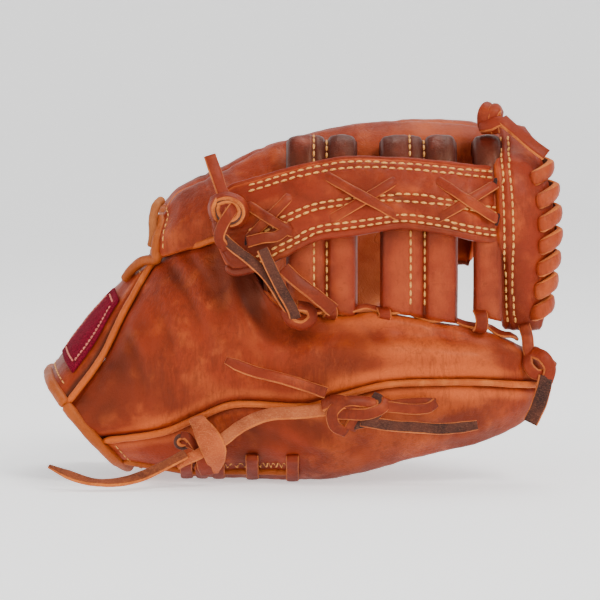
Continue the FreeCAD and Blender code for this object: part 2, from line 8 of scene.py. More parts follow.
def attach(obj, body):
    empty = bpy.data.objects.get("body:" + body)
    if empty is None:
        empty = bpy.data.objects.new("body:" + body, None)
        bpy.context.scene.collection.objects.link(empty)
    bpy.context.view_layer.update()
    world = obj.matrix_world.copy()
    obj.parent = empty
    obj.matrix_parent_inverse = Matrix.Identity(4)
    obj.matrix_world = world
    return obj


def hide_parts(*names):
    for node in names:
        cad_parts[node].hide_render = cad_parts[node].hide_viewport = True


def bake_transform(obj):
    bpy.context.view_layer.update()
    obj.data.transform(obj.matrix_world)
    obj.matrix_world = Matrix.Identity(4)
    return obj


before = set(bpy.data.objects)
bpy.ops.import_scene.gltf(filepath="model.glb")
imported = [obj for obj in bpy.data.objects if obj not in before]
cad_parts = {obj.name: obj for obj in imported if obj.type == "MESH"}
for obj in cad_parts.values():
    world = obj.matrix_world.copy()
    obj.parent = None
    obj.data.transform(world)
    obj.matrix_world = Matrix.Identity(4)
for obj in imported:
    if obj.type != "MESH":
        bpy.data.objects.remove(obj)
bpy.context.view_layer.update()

# Millimetre tables and routes are drawn from the wrist's foot, as in the part's source.
# ORIGIN is the frame's origin in that drawing: metres() turns a drawn point into a frame point.
ORIGIN = np.array((2.7, -2.95, -0.715))
LACE_W = 6.5
LACE_T = 2.4
GROUND_GAP = 0.05
# X and Z of one station's length past the last plane, toward the fingertips.
BEYOND = (9, 6)


def numbers(text, size):
    """Rows of size numbers from text."""
    return np.array(text.split(), float).reshape(-1, size)


def outlines(text):
    """Outlines by station. Each line is a station and the pairs of its points."""
    rows = [[float(n) for n in line.split()] for line in text.strip().splitlines()]
    return {row[0]: list(zip(row[1::2], row[2::2])) for row in rows}


# Foot of each station plane: X, Z and its lean in degrees from +X.
STATIONS = [
    (-96.7, 5.5, 130), (-56, 0, 128), (-38, 0, 121), (-20, 0, 115), (-8, 0, 111), (4, 0, 107.5),
    (13, 0.3, 107.5), (22, 1.5, 107.5), (38, 6, 105), (56, 11, 100), (78, 16, 95), (99, 21, 90),
    (117, 29, 88), (130, 38, 86), (137, 47, 85),
]

# ---------------------------------------------------------------- outline of the shell, by station
# Thumb side, outside: top edge, two points, welt, one point, bottom edge.
THUMB = outlines("""
0  -58 51  -60 44  -60.5 35  -57 23  -43 9  -18 1
1  -47.5 89  -57 76  -63 58  -64 36  -50 13  -24 1
2  -34 114.5  -52 97  -64 72  -69 42  -56 16  -30 1
3  -22 139  -46 117  -64 86  -74 49  -62 19  -36 1
4  -38 141  -53 116  -68 85  -77 49  -66 20  -41 1
5  -46 141  -57 115  -70 84  -79 47  -69 20  -45 1
6  -55 113  -62 98  -72 77  -80 46.5  -70 20  -47 1
7  -58 102  -65 90  -74 72  -80.5 46  -71 20  -48 1
8  -61 92  -67 83  -75 68  -81 47  -72 20  -50 1
9  -62 87  -68 79  -76 65  -81 46.5  -73 20  -52 1
10  -61 76  -67 69  -74 58  -79 42  -72 19  -53 1
11  -58 66  -63 61  -70 51  -75 36.5  -69 16  -53 1
12  -54 51  -58 47  -64 39  -69 27  -64 12  -52 1
13  -50 33  -53 30.5  -57 25  -60 17  -57 8  -50 1.5
14  -47.5 14  -49 13  -51 10.5  -52 8  -51 5  -48 3
""")
# Palm side of the thumb and of the heel, from the bottom edge round the inside of the thumb.
PALM_THUMB = outlines("""
0  -12 0.4  -6 0  0 0
1  -16 0.2  -8 0  0 0
2  -20 0.2  -10 0  0 0
3  -26 0.5  -15 0.8  -4 1
4  -33 5  -24 10  -12 15
5  -38 14  -33 29  -24 47
6  -40 20  -37 48  -33 84
7  -41 22  -40 56  -49 93
8  -42 22  -41 52  -53 85
9  -43 21  -42 48  -54 80
10  -44 19  -43 44  -53.5 70
11  -45 16  -44 36  -51 60
12  -45 12  -44 27  -48 46
13  -46 7  -45 16  -46.5 29
14  -46 4  -45.5 8  -46 12.5
""")
# Palm under the fingers, from the crotch or index edge across to the little finger edge.
PALM_FINGERS = outlines("""
0  1 0  5 0  10 0.2  14 0.6  18 1.4  22 2.6
1  1 0  7 0  13 0  19 0.3  25 1.2  30 3
2  1 0  9 0  17 0  25 0.2  32 1  38 2.8
3  -3 1  9 1.4  19 1.4  29 1.2  38 1  46 2.7
4  -11 15.5  6 19  22 17  37 11  45 5  52 2.3
5  -23 48  2 57  24 52  42 37  51 18  57 2.3
6  -32.5 86  0 100  28 94  47 74  57 40  62 5
7  -36 126  -4 132  26 128  50 104  61 64  67 21
8  -34 149  -6 152  26 148  50 128  64 90  71 48
9  -33 155  -5 158  27 154  50 135  63 106  72 75
10  -32 155  -5 157  26 152  48 136  61 112  71 86
10.9  -28 152  -4 153  24 148  44 136  57 116  68 98
""")
# Little finger and heel, outside: ring groove down to the palm edge.
PINKY = outlines("""
0  53 55  58 48  61 37  57 24  45 10  24 2.6
1  52 86  60 72  64 55  62 36  50 14  32 3
2  54 102  63 84  68 63  66 40  55 15  40 2.8
3  56 126  67 102  72 76  70 46  61 18  48 2.7
4  59 151  70 125  75 90  73 50  66 20  57 2.6
5  61 156  73 130  78 95  77 58  72 26  63 2.6
6  62 158  75 135  80 102  80 68  76 34  68 5
7  63 160  77 138  83 112  83 82  80 50  74 21
8  64 160  78 141  85 120  86 96  84 70  79 48
9  64 157  78 140  85 122  87 105  85 89  80 75
10  63 150  76 136  83 121  85 107  83 95  79 86
10.6  62 143  70 134  77 122  80 110  79 101  76 95
""")
INDEX = outlines("""
3.3  -25 140  -23 148  -14 155  0 158
4  -37 142  -33 156  -18 168  1 170
5  -45 142.5  -40 160  -20 175  2 174
6  -42 146  -38 164  -18 179  2 176
7  -36 150  -34 167  -16 183  2 178
8  -34 154  -32 172  -15 187  2 181
9  -33 158  -31 173  -15 187  2 181
10  -32 158  -30 171  -15 183  1 178
11  -28 155  -26 166  -15 175  -1 172
11.5  -24 151  -22 158  -14 164  -4 162
""")
MIDDLE = outlines("""
3.3  1 158  10 161  20 161  30 157
4  2 170  12 172  22 171  32 166
5  3 174  12 178  24 177  33 170
7  3 178  12 184  24 183  34 175
8  3 181  12 187  24 185  34 175
9  3 181  12 187  24 185  34 174
10  2 178  12 184  24 181  33 171
11  0 172  11 177  22 175  30 166
11.5  -3 161  8 164  18 162  25 157
""")
RING = outlines("""
3.3  31 156.5  40 152  49 144  55 134
4  33 165.5  42 164  52 159  58 152
5  34 169.5  44 170  54 165  60 157
7  35 174.5  45 176  56 170  62 161
8  35 174.5  46 177  57 170  63 161
9  35 173.5  46 175  57 168  63 158
10  34 170.5  45 170  55 163  62 151
10.9  31 163  40 162  49 156  55 147
""")
# Wrist strap over the back of the wrist, from the thumb panel to the little finger panel.
STRAP = outlines("""
0  -55 54.5  -40 65  -15 69.5  13 70  37 66  50 58
1  -44 92  -31 102  -12 108  12 108  36 101  49 89
2  -31 117  -21 121  -8 125  14 125  38 118  51 105
2.8  -22 135  -14 138  -4 140  16 139  39 132  53 120
""")
# Tables whose outline runs over the top of the hand, with the inside on its right.
OVER_THE_TOP = (PINKY, INDEX, MIDDLE, RING, STRAP)
# Web spine, a strap across the front of the web. X: outline (Y, Z) from its top edge down.
SPINE = outlines("""
-50  -58 160  -61 151  -62.5 142  -63 134
-40  -61 165  -66 150  -69 134  -69 119
-26  -63 169  -70 153  -74 136  -74 120
-12  -64 173  -72 158  -76 142  -76 127
8  -65 178  -73 164  -76.5 150  -76 137
27  -65 181  -73 167  -77 153  -76.5 140
56  -65 180  -73 168  -77 156  -76.5 144
80  -65 178  -73 165  -77 153  -76.5 141
98  -65 176  -72 162  -76 149  -75.5 137
112  -64.5 175  -71.5 161  -75 148  -74.5 135
""")
SPINE_START, SPINE_STOP = -50, 112
# Web tip piece, from its lower end up. Z: outline (X, Y) from the web side to the laced edge.
TIP = outlines("""
86  118 -51  127 -52.5  134 -50
100  116 -58  127 -60  137 -56
120  115 -63  128 -65  139.5 -60
140  114.5 -65  128 -67  140.5 -61
160  114 -62  127 -63.5  139 -58
178  113 -54  124 -55  135 -50
190  111 -44  121 -45  131 -40
198  108 -33  117 -34  126 -30
""")
# Free lace ends, as the corners of their routes.
HEEL_TAIL = [(-63, -84, 19), (-76, -87, 12), (-90, -91, 6), (-105, -94, 3.6), (-121, -94, 5.5),
             (-138, -91, 13)]
THUMB_TAIL_1 = [(14, -90, 53), (0, -89, 58), (-14, -89.5, 62), (-28, -88, 65), (-41, -88.5, 71)]
THUMB_TAIL_2 = [(33, -92, 38), (48, -91, 35), (64, -88.5, 34), (80, -88, 32.5), (97, -86, 35)]

# ---------------------------------------------------------------- curves and sections


def metres(points):
    return (np.asarray(points, float) - ORIGIN) / 1000


def drawn(points):
    """Frame points in metres as drawn millimetres."""
    return np.asarray(points, float) * 1000 + ORIGIN


def spline_at(points, t):
    """Point of the Catmull-Rom curve through points, t from 0 to 1."""
    n = len(points) - 1
    u = min(max(t, 0.0), 1.0) * n
    i = min(int(u), n - 1)
    f = u - i
    p1, p2 = points[i], points[i + 1]
    p0 = points[i - 1] if i > 0 else [2 * a - b for a, b in zip(p1, p2)]
    p3 = points[i + 2] if i + 2 <= n else [2 * b - a for a, b in zip(p1, p2)]
    return [0.5 * (2 * b + (c - a) * f + (2 * a - 5 * b + 4 * c - d) * f * f
                   + (3 * b - a - 3 * c + d) * f ** 3) for a, b, c, d in zip(p0, p1, p2, p3)]


def place(k, y, s):
    """Point (y, s) of the leaning plane at station k."""
    x, z, lean = spline_at(STATIONS, k / (len(STATIONS) - 1))
    over = max(k - len(STATIONS) + 1, 0)
    a = math.radians(lean)
    return (x + s * math.cos(a) + BEYOND[0] * over, y, z + s * math.sin(a) + BEYOND[1] * over)


def section(table, k):
    """The table's outline points at station k, between its own stations as well."""
    keys = sorted(table)
    i = max(n for n in range(len(keys) - 1) if keys[n] <= k or n == 0)
    f = (k - keys[i]) / (keys[i + 1] - keys[i])
    t = (i + f) / (len(keys) - 1)
    return [spline_at([table[key][n] for key in keys], t) for n in range(len(table[keys[0]]))]


def even_points(points, count, trim=(0.0, 0.0)):
    """Points evenly spaced along the curve, with trim millimetres left off each end."""
    steps = max(60, 8 * len(points))
    fine = np.array([spline_at(points, i / steps) for i in range(steps + 1)])
    run = np.concatenate(([0.0], np.cumsum(np.linalg.norm(np.diff(fine, axis=0), axis=1))))
    want = np.linspace(trim[0], run[-1] - trim[1], count)
    return np.stack([np.interp(want, run, fine[:, c]) for c in range(fine.shape[1])], axis=1)


def linked(name, data):
    """New object in the scene."""
    piece = bpy.data.objects.new(name, data)
    bpy.context.scene.collection.objects.link(piece)
    return piece


def unit(v):
    return v / np.maximum(np.linalg.norm(v, axis=-1, keepdims=True), 1e-9)


def shifted(points, distance):
    """The open plane curve moved sideways: positive is to the left of its direction."""
    step = unit(np.gradient(np.asarray(points, float), axis=0))
    return points + np.stack([-step[:, 1], step[:, 0]], axis=1) * distance


def joined(*tables):
    return {k: [p for table in tables for p in table[k]] for k in tables[0] if all(k in t for t in tables)}


def ramp(value, low, high):
    """0 below low, 1 above high, smooth between."""
    t = np.clip((value - low) / (high - low), 0, 1)
    return t * t * (3 - 2 * t)


def bell(value, width):
    """1 at 0, falling smoothly within width on both sides."""
    return np.exp(-(value / width) ** 2)


def rough(points, size, seed, stretch=(1, 1, 1)):
    """Fractal noise at drawn points, its features about size millimetres long."""
    flat = np.asarray(points).reshape(-1, 3) / (size * np.array(stretch)) + seed * 7.31
    out = np.array([noise.fractal(Vector(p), 0.9, 2.1, 3) for p in flat])
    return out.reshape(np.asarray(points).shape[:-1])


def away(points, line):
    """Distance of each point from a polyline."""
    flat = np.asarray(points).reshape(-1, 3)
    best = np.full(len(flat), 1e9)
    for a, b in zip(np.array(line[:-1], float), np.array(line[1:], float)):
        ab = b - a
        t = np.clip(((flat - a) @ ab) / (ab @ ab), 0, 1)
        best = np.minimum(best, np.linalg.norm(flat - a - t[:, None] * ab, axis=1))
    return best.reshape(np.asarray(points).shape[:-1])


def crease(points, line, depth, width):
    """Height change of a fold line pressed into leather, with a low ridge on each side."""
    soft = even_points(line, 4 * len(line))
    d = away(points, soft)
    ends = np.minimum(np.linalg.norm(points - soft[0], axis=-1), np.linalg.norm(points - soft[-1], axis=-1))
    fade = ramp(ends, 0, 4 * width) * 0.85 + 0.15
    return fade * (-depth * bell(d, width) + 0.4 * depth * bell(d - 2 * width, width))


# ---------------------------------------------------------------- meshes


def add_mesh(name, points, faces, materials, picks=None, wear_and_shade=None):
    """Mesh object from drawn points, none below the surface the glove rests on."""
    points = np.array(points, float)
    points[:, 2] = np.maximum(points[:, 2], ORIGIN[2] + GROUND_GAP)
    mesh = bpy.data.meshes.new(name)
    mesh.from_pydata(metres(points).tolist(), [], faces)
    for material in materials:
        mesh.materials.append(material)
    mesh.polygons.foreach_set("use_smooth", [True] * len(mesh.polygons))
    if picks is not None:
        mesh.polygons.foreach_set("material_index", picks)
    attribute = mesh.attributes.new("wear_and_shade", "FLOAT", "POINT")
    attribute.data.foreach_set("value", np.zeros(len(points)) if wear_and_shade is None else np.ravel(wear_and_shade))
    mesh.update()
    return linked(name, mesh)


def outward(mesh_points, faces):
    """Faces turned so that a closed mesh's normals point out."""
    p = np.asarray(mesh_points)
    volume = 0.0
    for face in faces:
        for b, c in zip(face[1:], face[2:]):
            volume += p[face[0]] @ np.cross(p[b], p[c])
    return faces if volume > 0 else [face[::-1] for face in faces]


def shell(name, outer, inward, thickness, material, height=None, wear_and_shade=None):
    """Closed leather sheet: a grid of outer points, its inside offset by thickness, and round edges."""
    rows, count, _ = outer.shape
    height = np.zeros((rows, count)) if height is None else height
    wear_and_shade = np.zeros((rows, count)) if wear_and_shade is None else wear_and_shade
    thickness = np.broadcast_to(np.asarray(thickness, float), (rows, count))[..., None]
    top = outer - inward * height[..., None]
    low = top + inward * thickness
    middle = (top + low) / 2

    def side(a, b):
        return middle[:, a] + unit(middle[:, a] - middle[:, b]) * thickness[:, a] * 0.42

    ring = np.concatenate([top, side(-1, -2)[:, None], low[:, ::-1], side(0, 1)[:, None]], axis=1)
    tone = np.concatenate([wear_and_shade, wear_and_shade[:, -1:] + 0.4, wear_and_shade[:, ::-1], wear_and_shade[:, :1] + 0.4], axis=1)
    size = ring.shape[1]
    core = np.concatenate([middle, middle[:, -1:], middle[:, ::-1], middle[:, :1]], axis=1)

    def end(a, b):
        step = unit(core[a] - core[b]) * 0.42 * thickness.mean()
        return core[a] + (ring[a] - core[a]) * 0.55 + step

    ring = np.concatenate([end(0, 1)[None], ring, end(-1, -2)[None]])
    tone = np.concatenate([tone[:1] + 0.3, tone, tone[-1:] + 0.3])
    faces = [(i * size + j, i * size + (j + 1) % size, (i + 1) * size + (j + 1) % size, (i + 1) * size + j)
             for i in range(len(ring) - 1) for j in range(size)]
    for i, turn in ((0, 1), (len(ring) - 1, -1)):
        base = i * size
        lids = [(j, 2 * count - j, 2 * count - j - 1, j + 1) for j in range(count - 1)]
        lids += [(count - 1, count + 1, count), (0, 2 * count + 1, 2 * count)]
        faces += [tuple(base + v for v in lid)[::turn] for lid in lids]
    points = ring.reshape(-1, 3)
    piece = add_mesh(name, points, outward(points, faces), [material], wear_and_shade=tone)
    SURFACES[name] = (top, -inward)
    return piece


SURFACES = {}


def outline_grid(table, start, stop, part=slice(None), rows=80, count=40, trim=(0, 0), sink=0.0, tip=0.0):
    """Grid over a table's outline, and its inward directions. tip closes the end over that many stations."""
    turn = -1 if table in OVER_THE_TOP else 1
    grid = []
    for k in np.linspace(start, stop, rows):
        row = even_points(section(table, k)[part], count, trim)
        grid.append([place(k, *p) for p in (shifted(row, turn * sink) if sink else row)])
    if tip:
        chord = shifted(np.linspace(row[0], row[-1], count), turn * 2.5)
        for a in np.radians(np.linspace(8, 97, 11)):
            grid.append([place(stop + tip * math.sin(a), *p) for p in chord + (row - chord) * math.cos(a)])
    grid = np.array(grid)
    normal = unit(np.cross(np.gradient(grid, axis=0), np.gradient(grid, axis=1)))
    k, middle = np.linspace(start, stop, rows)[rows // 2], rows // 2
    row = even_points(section(table, k)[part], count, trim)
    inner = np.array([place(k, *p) for p in shifted(row, turn * 2)])
    outer = np.array([place(k, *p) for p in row])
    if np.sum(normal[middle] * (inner - outer)) < 0:
        normal = -normal
    return grid, normal


def edge_runs(grid):
    """Distance of every grid point from the first and the last column, along its row."""
    run = np.concatenate([np.zeros((len(grid), 1)), np.cumsum(
        np.linalg.norm(np.diff(grid, axis=1), axis=2), axis=1)], axis=1)
    return run, run[:, -1:] - run


def sweep(name, points, facing, profile, materials, picks=None, scale=None, closed=False):
    """Solid along 3-D points. profile is a ring of (side, out) millimetres; facing is the out direction."""
    points = np.asarray(points, float)
    along = unit(np.roll(points, -1, axis=0) - np.roll(points, 1, axis=0) if closed
                 else np.gradient(points, axis=0))
    side = unit(np.cross(along, facing))
    out = np.cross(side, along)
    profile = np.asarray(profile, float)
    scale = np.ones(len(points)) if scale is None else scale
    ring = points[:, None] + (side[:, None] * profile[None, :, :1] + out[:, None] * profile[None, :, 1:]) * (
        scale[:, None, None])
    size, count = len(profile), len(points)
    faces, marks = [], []
    for i in range(count if closed else count - 1):
        n = (i + 1) % count
        for j in range(size):
            m = (j + 1) % size
            faces.append((i * size + j, n * size + j, n * size + m, i * size + m))
            marks.append(picks[j] if picks else 0)
    if not closed:
        faces += [tuple(range(size)), tuple(range(count * size - 1, (count - 1) * size - 1, -1))]
        marks += [1 if picks else 0] * 2
    flat = ring.reshape(-1, 3)
    return add_mesh(name, flat, outward(flat, faces), materials, marks)


def lace_profile(width, thickness, cup=0.0):
    """Flat lace section with slightly rounded corners, its face first, then a cut side, back and side."""
    half = [(-1, 0.3), (-0.87, 0.9), (-0.6, 1), (0, 1), (0.6, 1), (0.87, 0.9), (1, 0.3)]
    ring = half + [(x, -z) for x, z in half[::-1]]
    return [(x * width / 2, z * thickness / 2 - cup * x * x) for x, z in ring]


LACE_PICKS = [1] + [0] * 4 + [1] * 3 + [2] * 4 + [1] * 2


def lace(name, points, facing, width=LACE_W, thickness=LACE_T, look=None, seed=1, step=1.1, cup=0.25,
         closed=False, grow=(1, 1)):
    """Flat rawhide lace through drawn points, hand cut: its width and turn vary a little."""
    points = np.asarray(points, float)
    facing = np.asarray(facing, float)
    if facing.ndim == 1:
        facing = np.tile(facing, (len(points), 1))
    length = np.sum(np.linalg.norm(np.diff(points, axis=0), axis=1))
    count = max(8, int(length / step))
    both = even_points(np.concatenate([points, facing * 0.001], axis=1), count)
    line, turn = both[:, :3], unit(both[:, 3:])
    if closed:
        line, turn = line[:-1], turn[:-1]
    wobble = rough(line, 14, seed)
    turn = unit(turn + 0.10 * np.stack([wobble, -wobble, wobble], axis=1))
    grown = np.interp(np.linspace(0, 1, len(line)), np.linspace(0, 1, len(grow)), grow)
    return sweep(name, line, turn, lace_profile(width, thickness, cup), look or LACE_LOOK, LACE_PICKS,
                 grown * (1 + 0.07 * rough(line, 9, seed + 3)), closed)


def tube(name, points, radius, material, up=(0, 0, 1), sides=14, flat=1.0, seed=1, lumps=0.05):
    """Round leather roll along drawn points; flat squeezes it toward up."""
    turns = np.linspace(0, math.tau, sides, endpoint=False)
    profile = np.stack([np.cos(turns) * radius, np.sin(turns) * radius * flat], axis=1)
    points = np.asarray(points, float)
    facing = np.tile(np.array(up, float), (len(points), 1)) if np.ndim(up) == 1 else np.asarray(up, float)
    scale = 1 + lumps * rough(points, 8, seed)
    ends = np.arange(len(points))
    scale = scale * np.array([0.6, 0.92, 1.0])[np.minimum(np.minimum(ends, ends[::-1]), 2)]
    return sweep(name, points, facing, profile, [material], scale=scale)


def stitches(name, lines, material, pitch=4.6, length=3.5, radius=0.45, lift=0.35):
    """Small raised thread stitches along lines, each a pair of arrays: points and outward directions."""
    points, faces = [], []
    along = np.array([-1, -0.8, -0.35, 0.35, 0.8, 1])
    girth = np.array([0.3, 0.75, 1, 1, 0.75, 0.3])
    turns = np.linspace(0, math.tau, 6, endpoint=False)
    for line, normal in lines:
        run = np.concatenate(([0], np.cumsum(np.linalg.norm(np.diff(line, axis=0), axis=1))))

        def spot(x, table):
            return np.array([np.interp(x, run, table[:, c]) for c in range(3)])

        count = int((run[-1] - 1) / pitch)
        for n in range(count):
            at = 1 + pitch * (n + 0.5)
            step = unit(spot(at + 1, line) - spot(at - 1, line))
            up = unit(spot(at, normal))
            side = np.cross(step, up)
            for a, g in zip(along, girth):
                middle = spot(at + a * length / 2, line) + up * (lift * (1 - a * a) - 0.1)
                base = len(points)
                points += [middle + (side * math.cos(t) + up * math.sin(t)) * radius * g for t in turns]
                if a > -1:
                    faces += [(base - 6 + j, base - 6 + (j + 1) % 6, base + (j + 1) % 6, base + j)
                              for j in range(6)]
                else:
                    faces.append(tuple(range(base + 5, base - 1, -1)))
            faces.append(tuple(range(base, base + 6)))
    return add_mesh(name, np.array(points), faces, [material])


def merge(name, pieces):
    """One object from several, with their materials."""
    bpy.ops.object.select_all(action="DESELECT")
    for piece in pieces:
        piece.select_set(True)
    bpy.context.view_layer.objects.active = pieces[0]
    if len(pieces) > 1:
        bpy.ops.object.join()
    pieces[0].name = name
    pieces[0].data.name = name
    return pieces[0]


def settle(piece, slot, *nodes, move="hand"):
    """Replaced CAD nodes and the body a piece hangs from; for a bend between two bodies its transform is only
    baked in place. slot is not used.
    """
    if nodes:
        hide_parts(*nodes)
    if isinstance(move, str):
        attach(piece, move)
    else:
        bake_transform(piece)


def bend_at(child, k, before, after):
    """The turn of the leather between the hand and a child body, around station k."""
    x, z, lean = spline_at(STATIONS, k / (len(STATIONS) - 1))
    step = np.array((math.sin(math.radians(lean)), 0, -math.cos(math.radians(lean))))
    foot = np.array((x, 0, z))
    return ("hand", child, tuple(metres(foot - step * before)), tuple(metres(foot + step * after)))


# ---------------------------------------------------------------- materials


class Shader:
    """A node material: each call adds a node and returns its output."""

    def __init__(self, name):
        self.material = bpy.data.materials.new(name)
        self.material.use_nodes = True
        self.tree = self.material.node_tree
        self.bsdf = self.tree.nodes["Principled BSDF"]
        self.where = self.add("TexCoord", "Object")

    def feed(self, socket, value):
        """Links or sets a socket; None leaves it as it is."""
        if isinstance(value, bpy.types.NodeSocket):
            self.tree.links.new(value, socket)
        elif value is not None:
            socket.default_value = value

    def add(self, kind, output=0, inputs=None, **settings):
        node = self.tree.nodes.new("ShaderNode" + kind)
        for key, value in settings.items():
            setattr(node, key, value)
        for key, value in (inputs or {}).items():
            self.feed(node.inputs[key], value)
        return node.outputs[output]

    def math(self, kind, a, b=0.0):
        return self.add("Math", 0, {0: a, 1: b}, operation=kind)

    def stretch(self, scale):
        return self.add("Mapping", 0, {"Scale": scale, "Vector": self.where})

    def noise(self, scale, detail=4.0, distortion=0.0, vector=None):
        return self.add("TexNoise", "Fac", {"Scale": scale, "Detail": detail, "Distortion": distortion,
                                            "Vector": vector or self.where})

    def cells(self, scale, feature="F1", vector=None):
        return self.add("TexVoronoi", "Distance", {"Scale": scale, "Vector": vector or self.where},
                        feature=feature)

    def warped(self, scale, amount):
        """Coordinates pushed about by noise."""
        push = self.add("TexNoise", "Color", {"Scale": scale, "Vector": self.where})
        return self.add("VectorMath", 0, {0: push, 1: (amount,) * 3, 2: self.where}, operation="MULTIPLY_ADD")

    def steps(self, value, low, high, out_low=0.0, out_high=1.0):
        return self.add("MapRange", 0, {"Value": value, "From Min": low, "From Max": high, "To Min": out_low,
                                        "To Max": out_high}, interpolation_type="SMOOTHSTEP")

    def mix(self, amount, a, b, kind="MIX"):
        return self.add("Mix", 2, {0: amount, 6: a, 7: b}, data_type="RGBA", blend_type=kind)

    def tint(self, color, other, mask, *factors):
        """The colour moved toward another by a mask and factors."""
        for factor in factors:
            mask = self.math("MULTIPLY", mask, factor)
        return self.mix(mask, color, other)

    def bump(self, height, strength, distance, normal=None):
        return self.add("Bump", 0, {"Strength": strength, "Distance": distance, "Height": height,
                                    "Normal": normal})

    def finish(self, color, roughness, normal=None, **values):
        for name, value in (("Base Color", color), ("Roughness", roughness), ("Normal", normal),
                            *values.items()):
            self.feed(self.bsdf.inputs[name.replace("_", " ")], value)
        return self.material


def rgb(*display):
    """Linear colours from 8-bit display values, three to a colour."""
    linear = [((c / 255 + 0.055) / 1.055) ** 2.4 if c > 10 else c / 3295 for c in display]
    return [(*linear[n:n + 3], 1) for n in range(0, len(linear), 3)]


DYE = (0.74, 0.50, 0.38, 1)      # oil in the hide: darker and redder


def leather(name, base, dark, light, mottle=0.5, grain=0.25, crease=0.5, gloss=0.44, coat=0.03):
    """Oiled leather: mottled dye, worn light edges, painted highlights, painted shade in folds and seams,
    pores, a net of fine creases and smudged gloss.
    """
    s = Shader(name)
    patches = s.noise(16, 3, 0.6)
    clouds = s.noise(75, 6, 0.3)
    speck = s.noise(420, 5)
    color = s.tint(base, dark, s.steps(patches, 0.38, 0.68), mottle)
    color = s.tint(color, light, s.steps(clouds, 0.5, 0.78), mottle)
    wear_and_shade = s.add("Attribute", "Fac", attribute_name="wear_and_shade")
    # The per-vertex attribute lightens worn edges and painted highlights, and darkens with painted shade in
    # fold troughs and seam dips.
    color = s.mix(s.steps(wear_and_shade, 0.03, 0.9), color, light)
    color = s.mix(s.steps(wear_and_shade, -0.03, -0.9), color, dark)
    folds = s.cells(95, "DISTANCE_TO_EDGE", s.warped(60, 0.02))
    where = s.steps(s.noise(28, 2), 0.45, 0.62)
    line = s.math("MULTIPLY", s.steps(folds, 0.05, 0.0), where)
    net = s.cells(520, "DISTANCE_TO_EDGE", s.warped(300, 0.003))
    pores = s.cells(1500)
    wrinkle = s.noise(1, 5, 0.7, s.stretch((560, 560, 95)))
    mask = s.steps(s.noise(24, 2), 0.42, 0.6)
    # Painted shade in the troughs of the fine wrinkles and fold lines, and a painted highlight on the wrinkle
    # crests.
    color = s.tint(color, dark, s.steps(wrinkle, 0.52, 0.40), mask, 0.5 * crease)
    color = s.tint(color, light, s.steps(wrinkle, 0.56, 0.68), mask, 0.22 * crease)
    color = s.tint(color, dark, line, 0.30 * crease)
    color = s.tint(color, dark, s.steps(speck, 0.55, 0.75), 0.22)
    color = s.tint(color, dark, s.steps(net, 0.07, 0.0), 0.16)
    color = s.mix(1.0, color, DYE, "MULTIPLY")
    normal = s.bump(s.math("SUBTRACT", s.math("MULTIPLY", clouds, 0.7), s.math("MULTIPLY", line, 0.3)),
                    0.35 * crease, 0.0022)
    normal = s.bump(s.math("MULTIPLY", wrinkle, mask), 0.6 * crease, 0.0011, normal)
    normal = s.bump(s.steps(net, 0.0, 0.12), grain, 0.00035, normal)
    normal = s.bump(pores, grain * 0.6, 0.00025, normal)
    rough_map = s.math("ADD", s.steps(clouds, 0.3, 0.75, gloss + 0.08, gloss - 0.05),
                       s.math("MULTIPLY", speck, 0.10))
    return s.finish(color, rough_map, normal, Coat_Weight=coat, Coat_Roughness=0.25, Specular_IOR_Level=0.42,
                    Specular_Tint=(1.0, 0.55, 0.32, 1))


def suede(name, base, dark, light, rough_at=0.85):
    """Napped flesh side of leather: fibres, smudges and a soft sheen."""
    s = Shader(name)
    smudge = s.noise(60, 5, 0.8)
    fibre = s.noise(900, 6, 1.2, s.stretch((1, 1, 2.2)))
    color = s.mix(s.steps(smudge, 0.35, 0.7), base, dark)
    color = s.tint(color, light, s.steps(fibre, 0.45, 0.7), 0.5)
    normal = s.bump(fibre, 0.5, 0.0005)
    color = s.mix(1.0, color, (0.86, 0.62, 0.45, 1), "MULTIPLY")
    return s.finish(color, s.steps(fibre, 0.3, 0.7, rough_at, rough_at - 0.15), normal, Sheen_Weight=0.04,
                    Sheen_Roughness=0.6, Specular_IOR_Level=0.2)


def felt(name, base, dark, light):
    """Short-pile wool felt: matted fibres over a soft body colour."""
    s = Shader(name)
    tangle = s.noise(650, 8, 2.5)
    hair = s.noise(1500, 4, 3.0, s.stretch((1, 2.4, 1)))
    color = s.mix(s.steps(tangle, 0.38, 0.66), dark, base)
    color = s.tint(color, light, s.steps(hair, 0.52, 0.7), 0.55)
    normal = s.bump(tangle, 0.7, 0.0008)
    normal = s.bump(hair, 0.5, 0.0004, normal)
    return s.finish(color, 0.95, normal, Specular_IOR_Level=0.1)


def thread(name, base, dark):
    """Waxed twisted thread: fine plies across each stitch."""
    s = Shader(name)
    ply = s.noise(2600, 2, 0.5)
    color = s.mix(s.steps(ply, 0.4, 0.65), base, dark)
    return s.finish(color, 0.55, s.bump(ply, 0.4, 0.0002), Specular_IOR_Level=0.3)


SHELL = leather("shell_leather", *rgb(156, 58, 27, 84, 26, 14, 212, 112, 56), mottle=0.55)
PALM = leather("palm_leather", *rgb(190, 96, 52, 122, 48, 26, 216, 136, 84), crease=0.7)
WEB = leather("web_leather", *rgb(146, 50, 28, 82, 23, 14, 206, 104, 56), crease=0.4)
WHIP = leather("whip_leather", *rgb(172, 78, 42, 96, 34, 20, 216, 124, 72), gloss=0.42)
ROLL = leather("roll_leather", *rgb(146, 54, 34, 74, 26, 22, 194, 98, 58), crease=0.3,
               gloss=0.38, coat=0.05)
INNER = leather("lining_leather", *rgb(184, 124, 76, 124, 74, 40, 212, 160, 106), mottle=0.6, gloss=0.62,
                coat=0.0)
WELT = leather("welt_leather", *rgb(218, 122, 52, 150, 66, 24, 238, 164, 88), grain=0.35)
BINDING = leather("binding_leather", *rgb(188, 106, 44, 116, 64, 28, 218, 148, 74), mottle=0.6, grain=0.35)
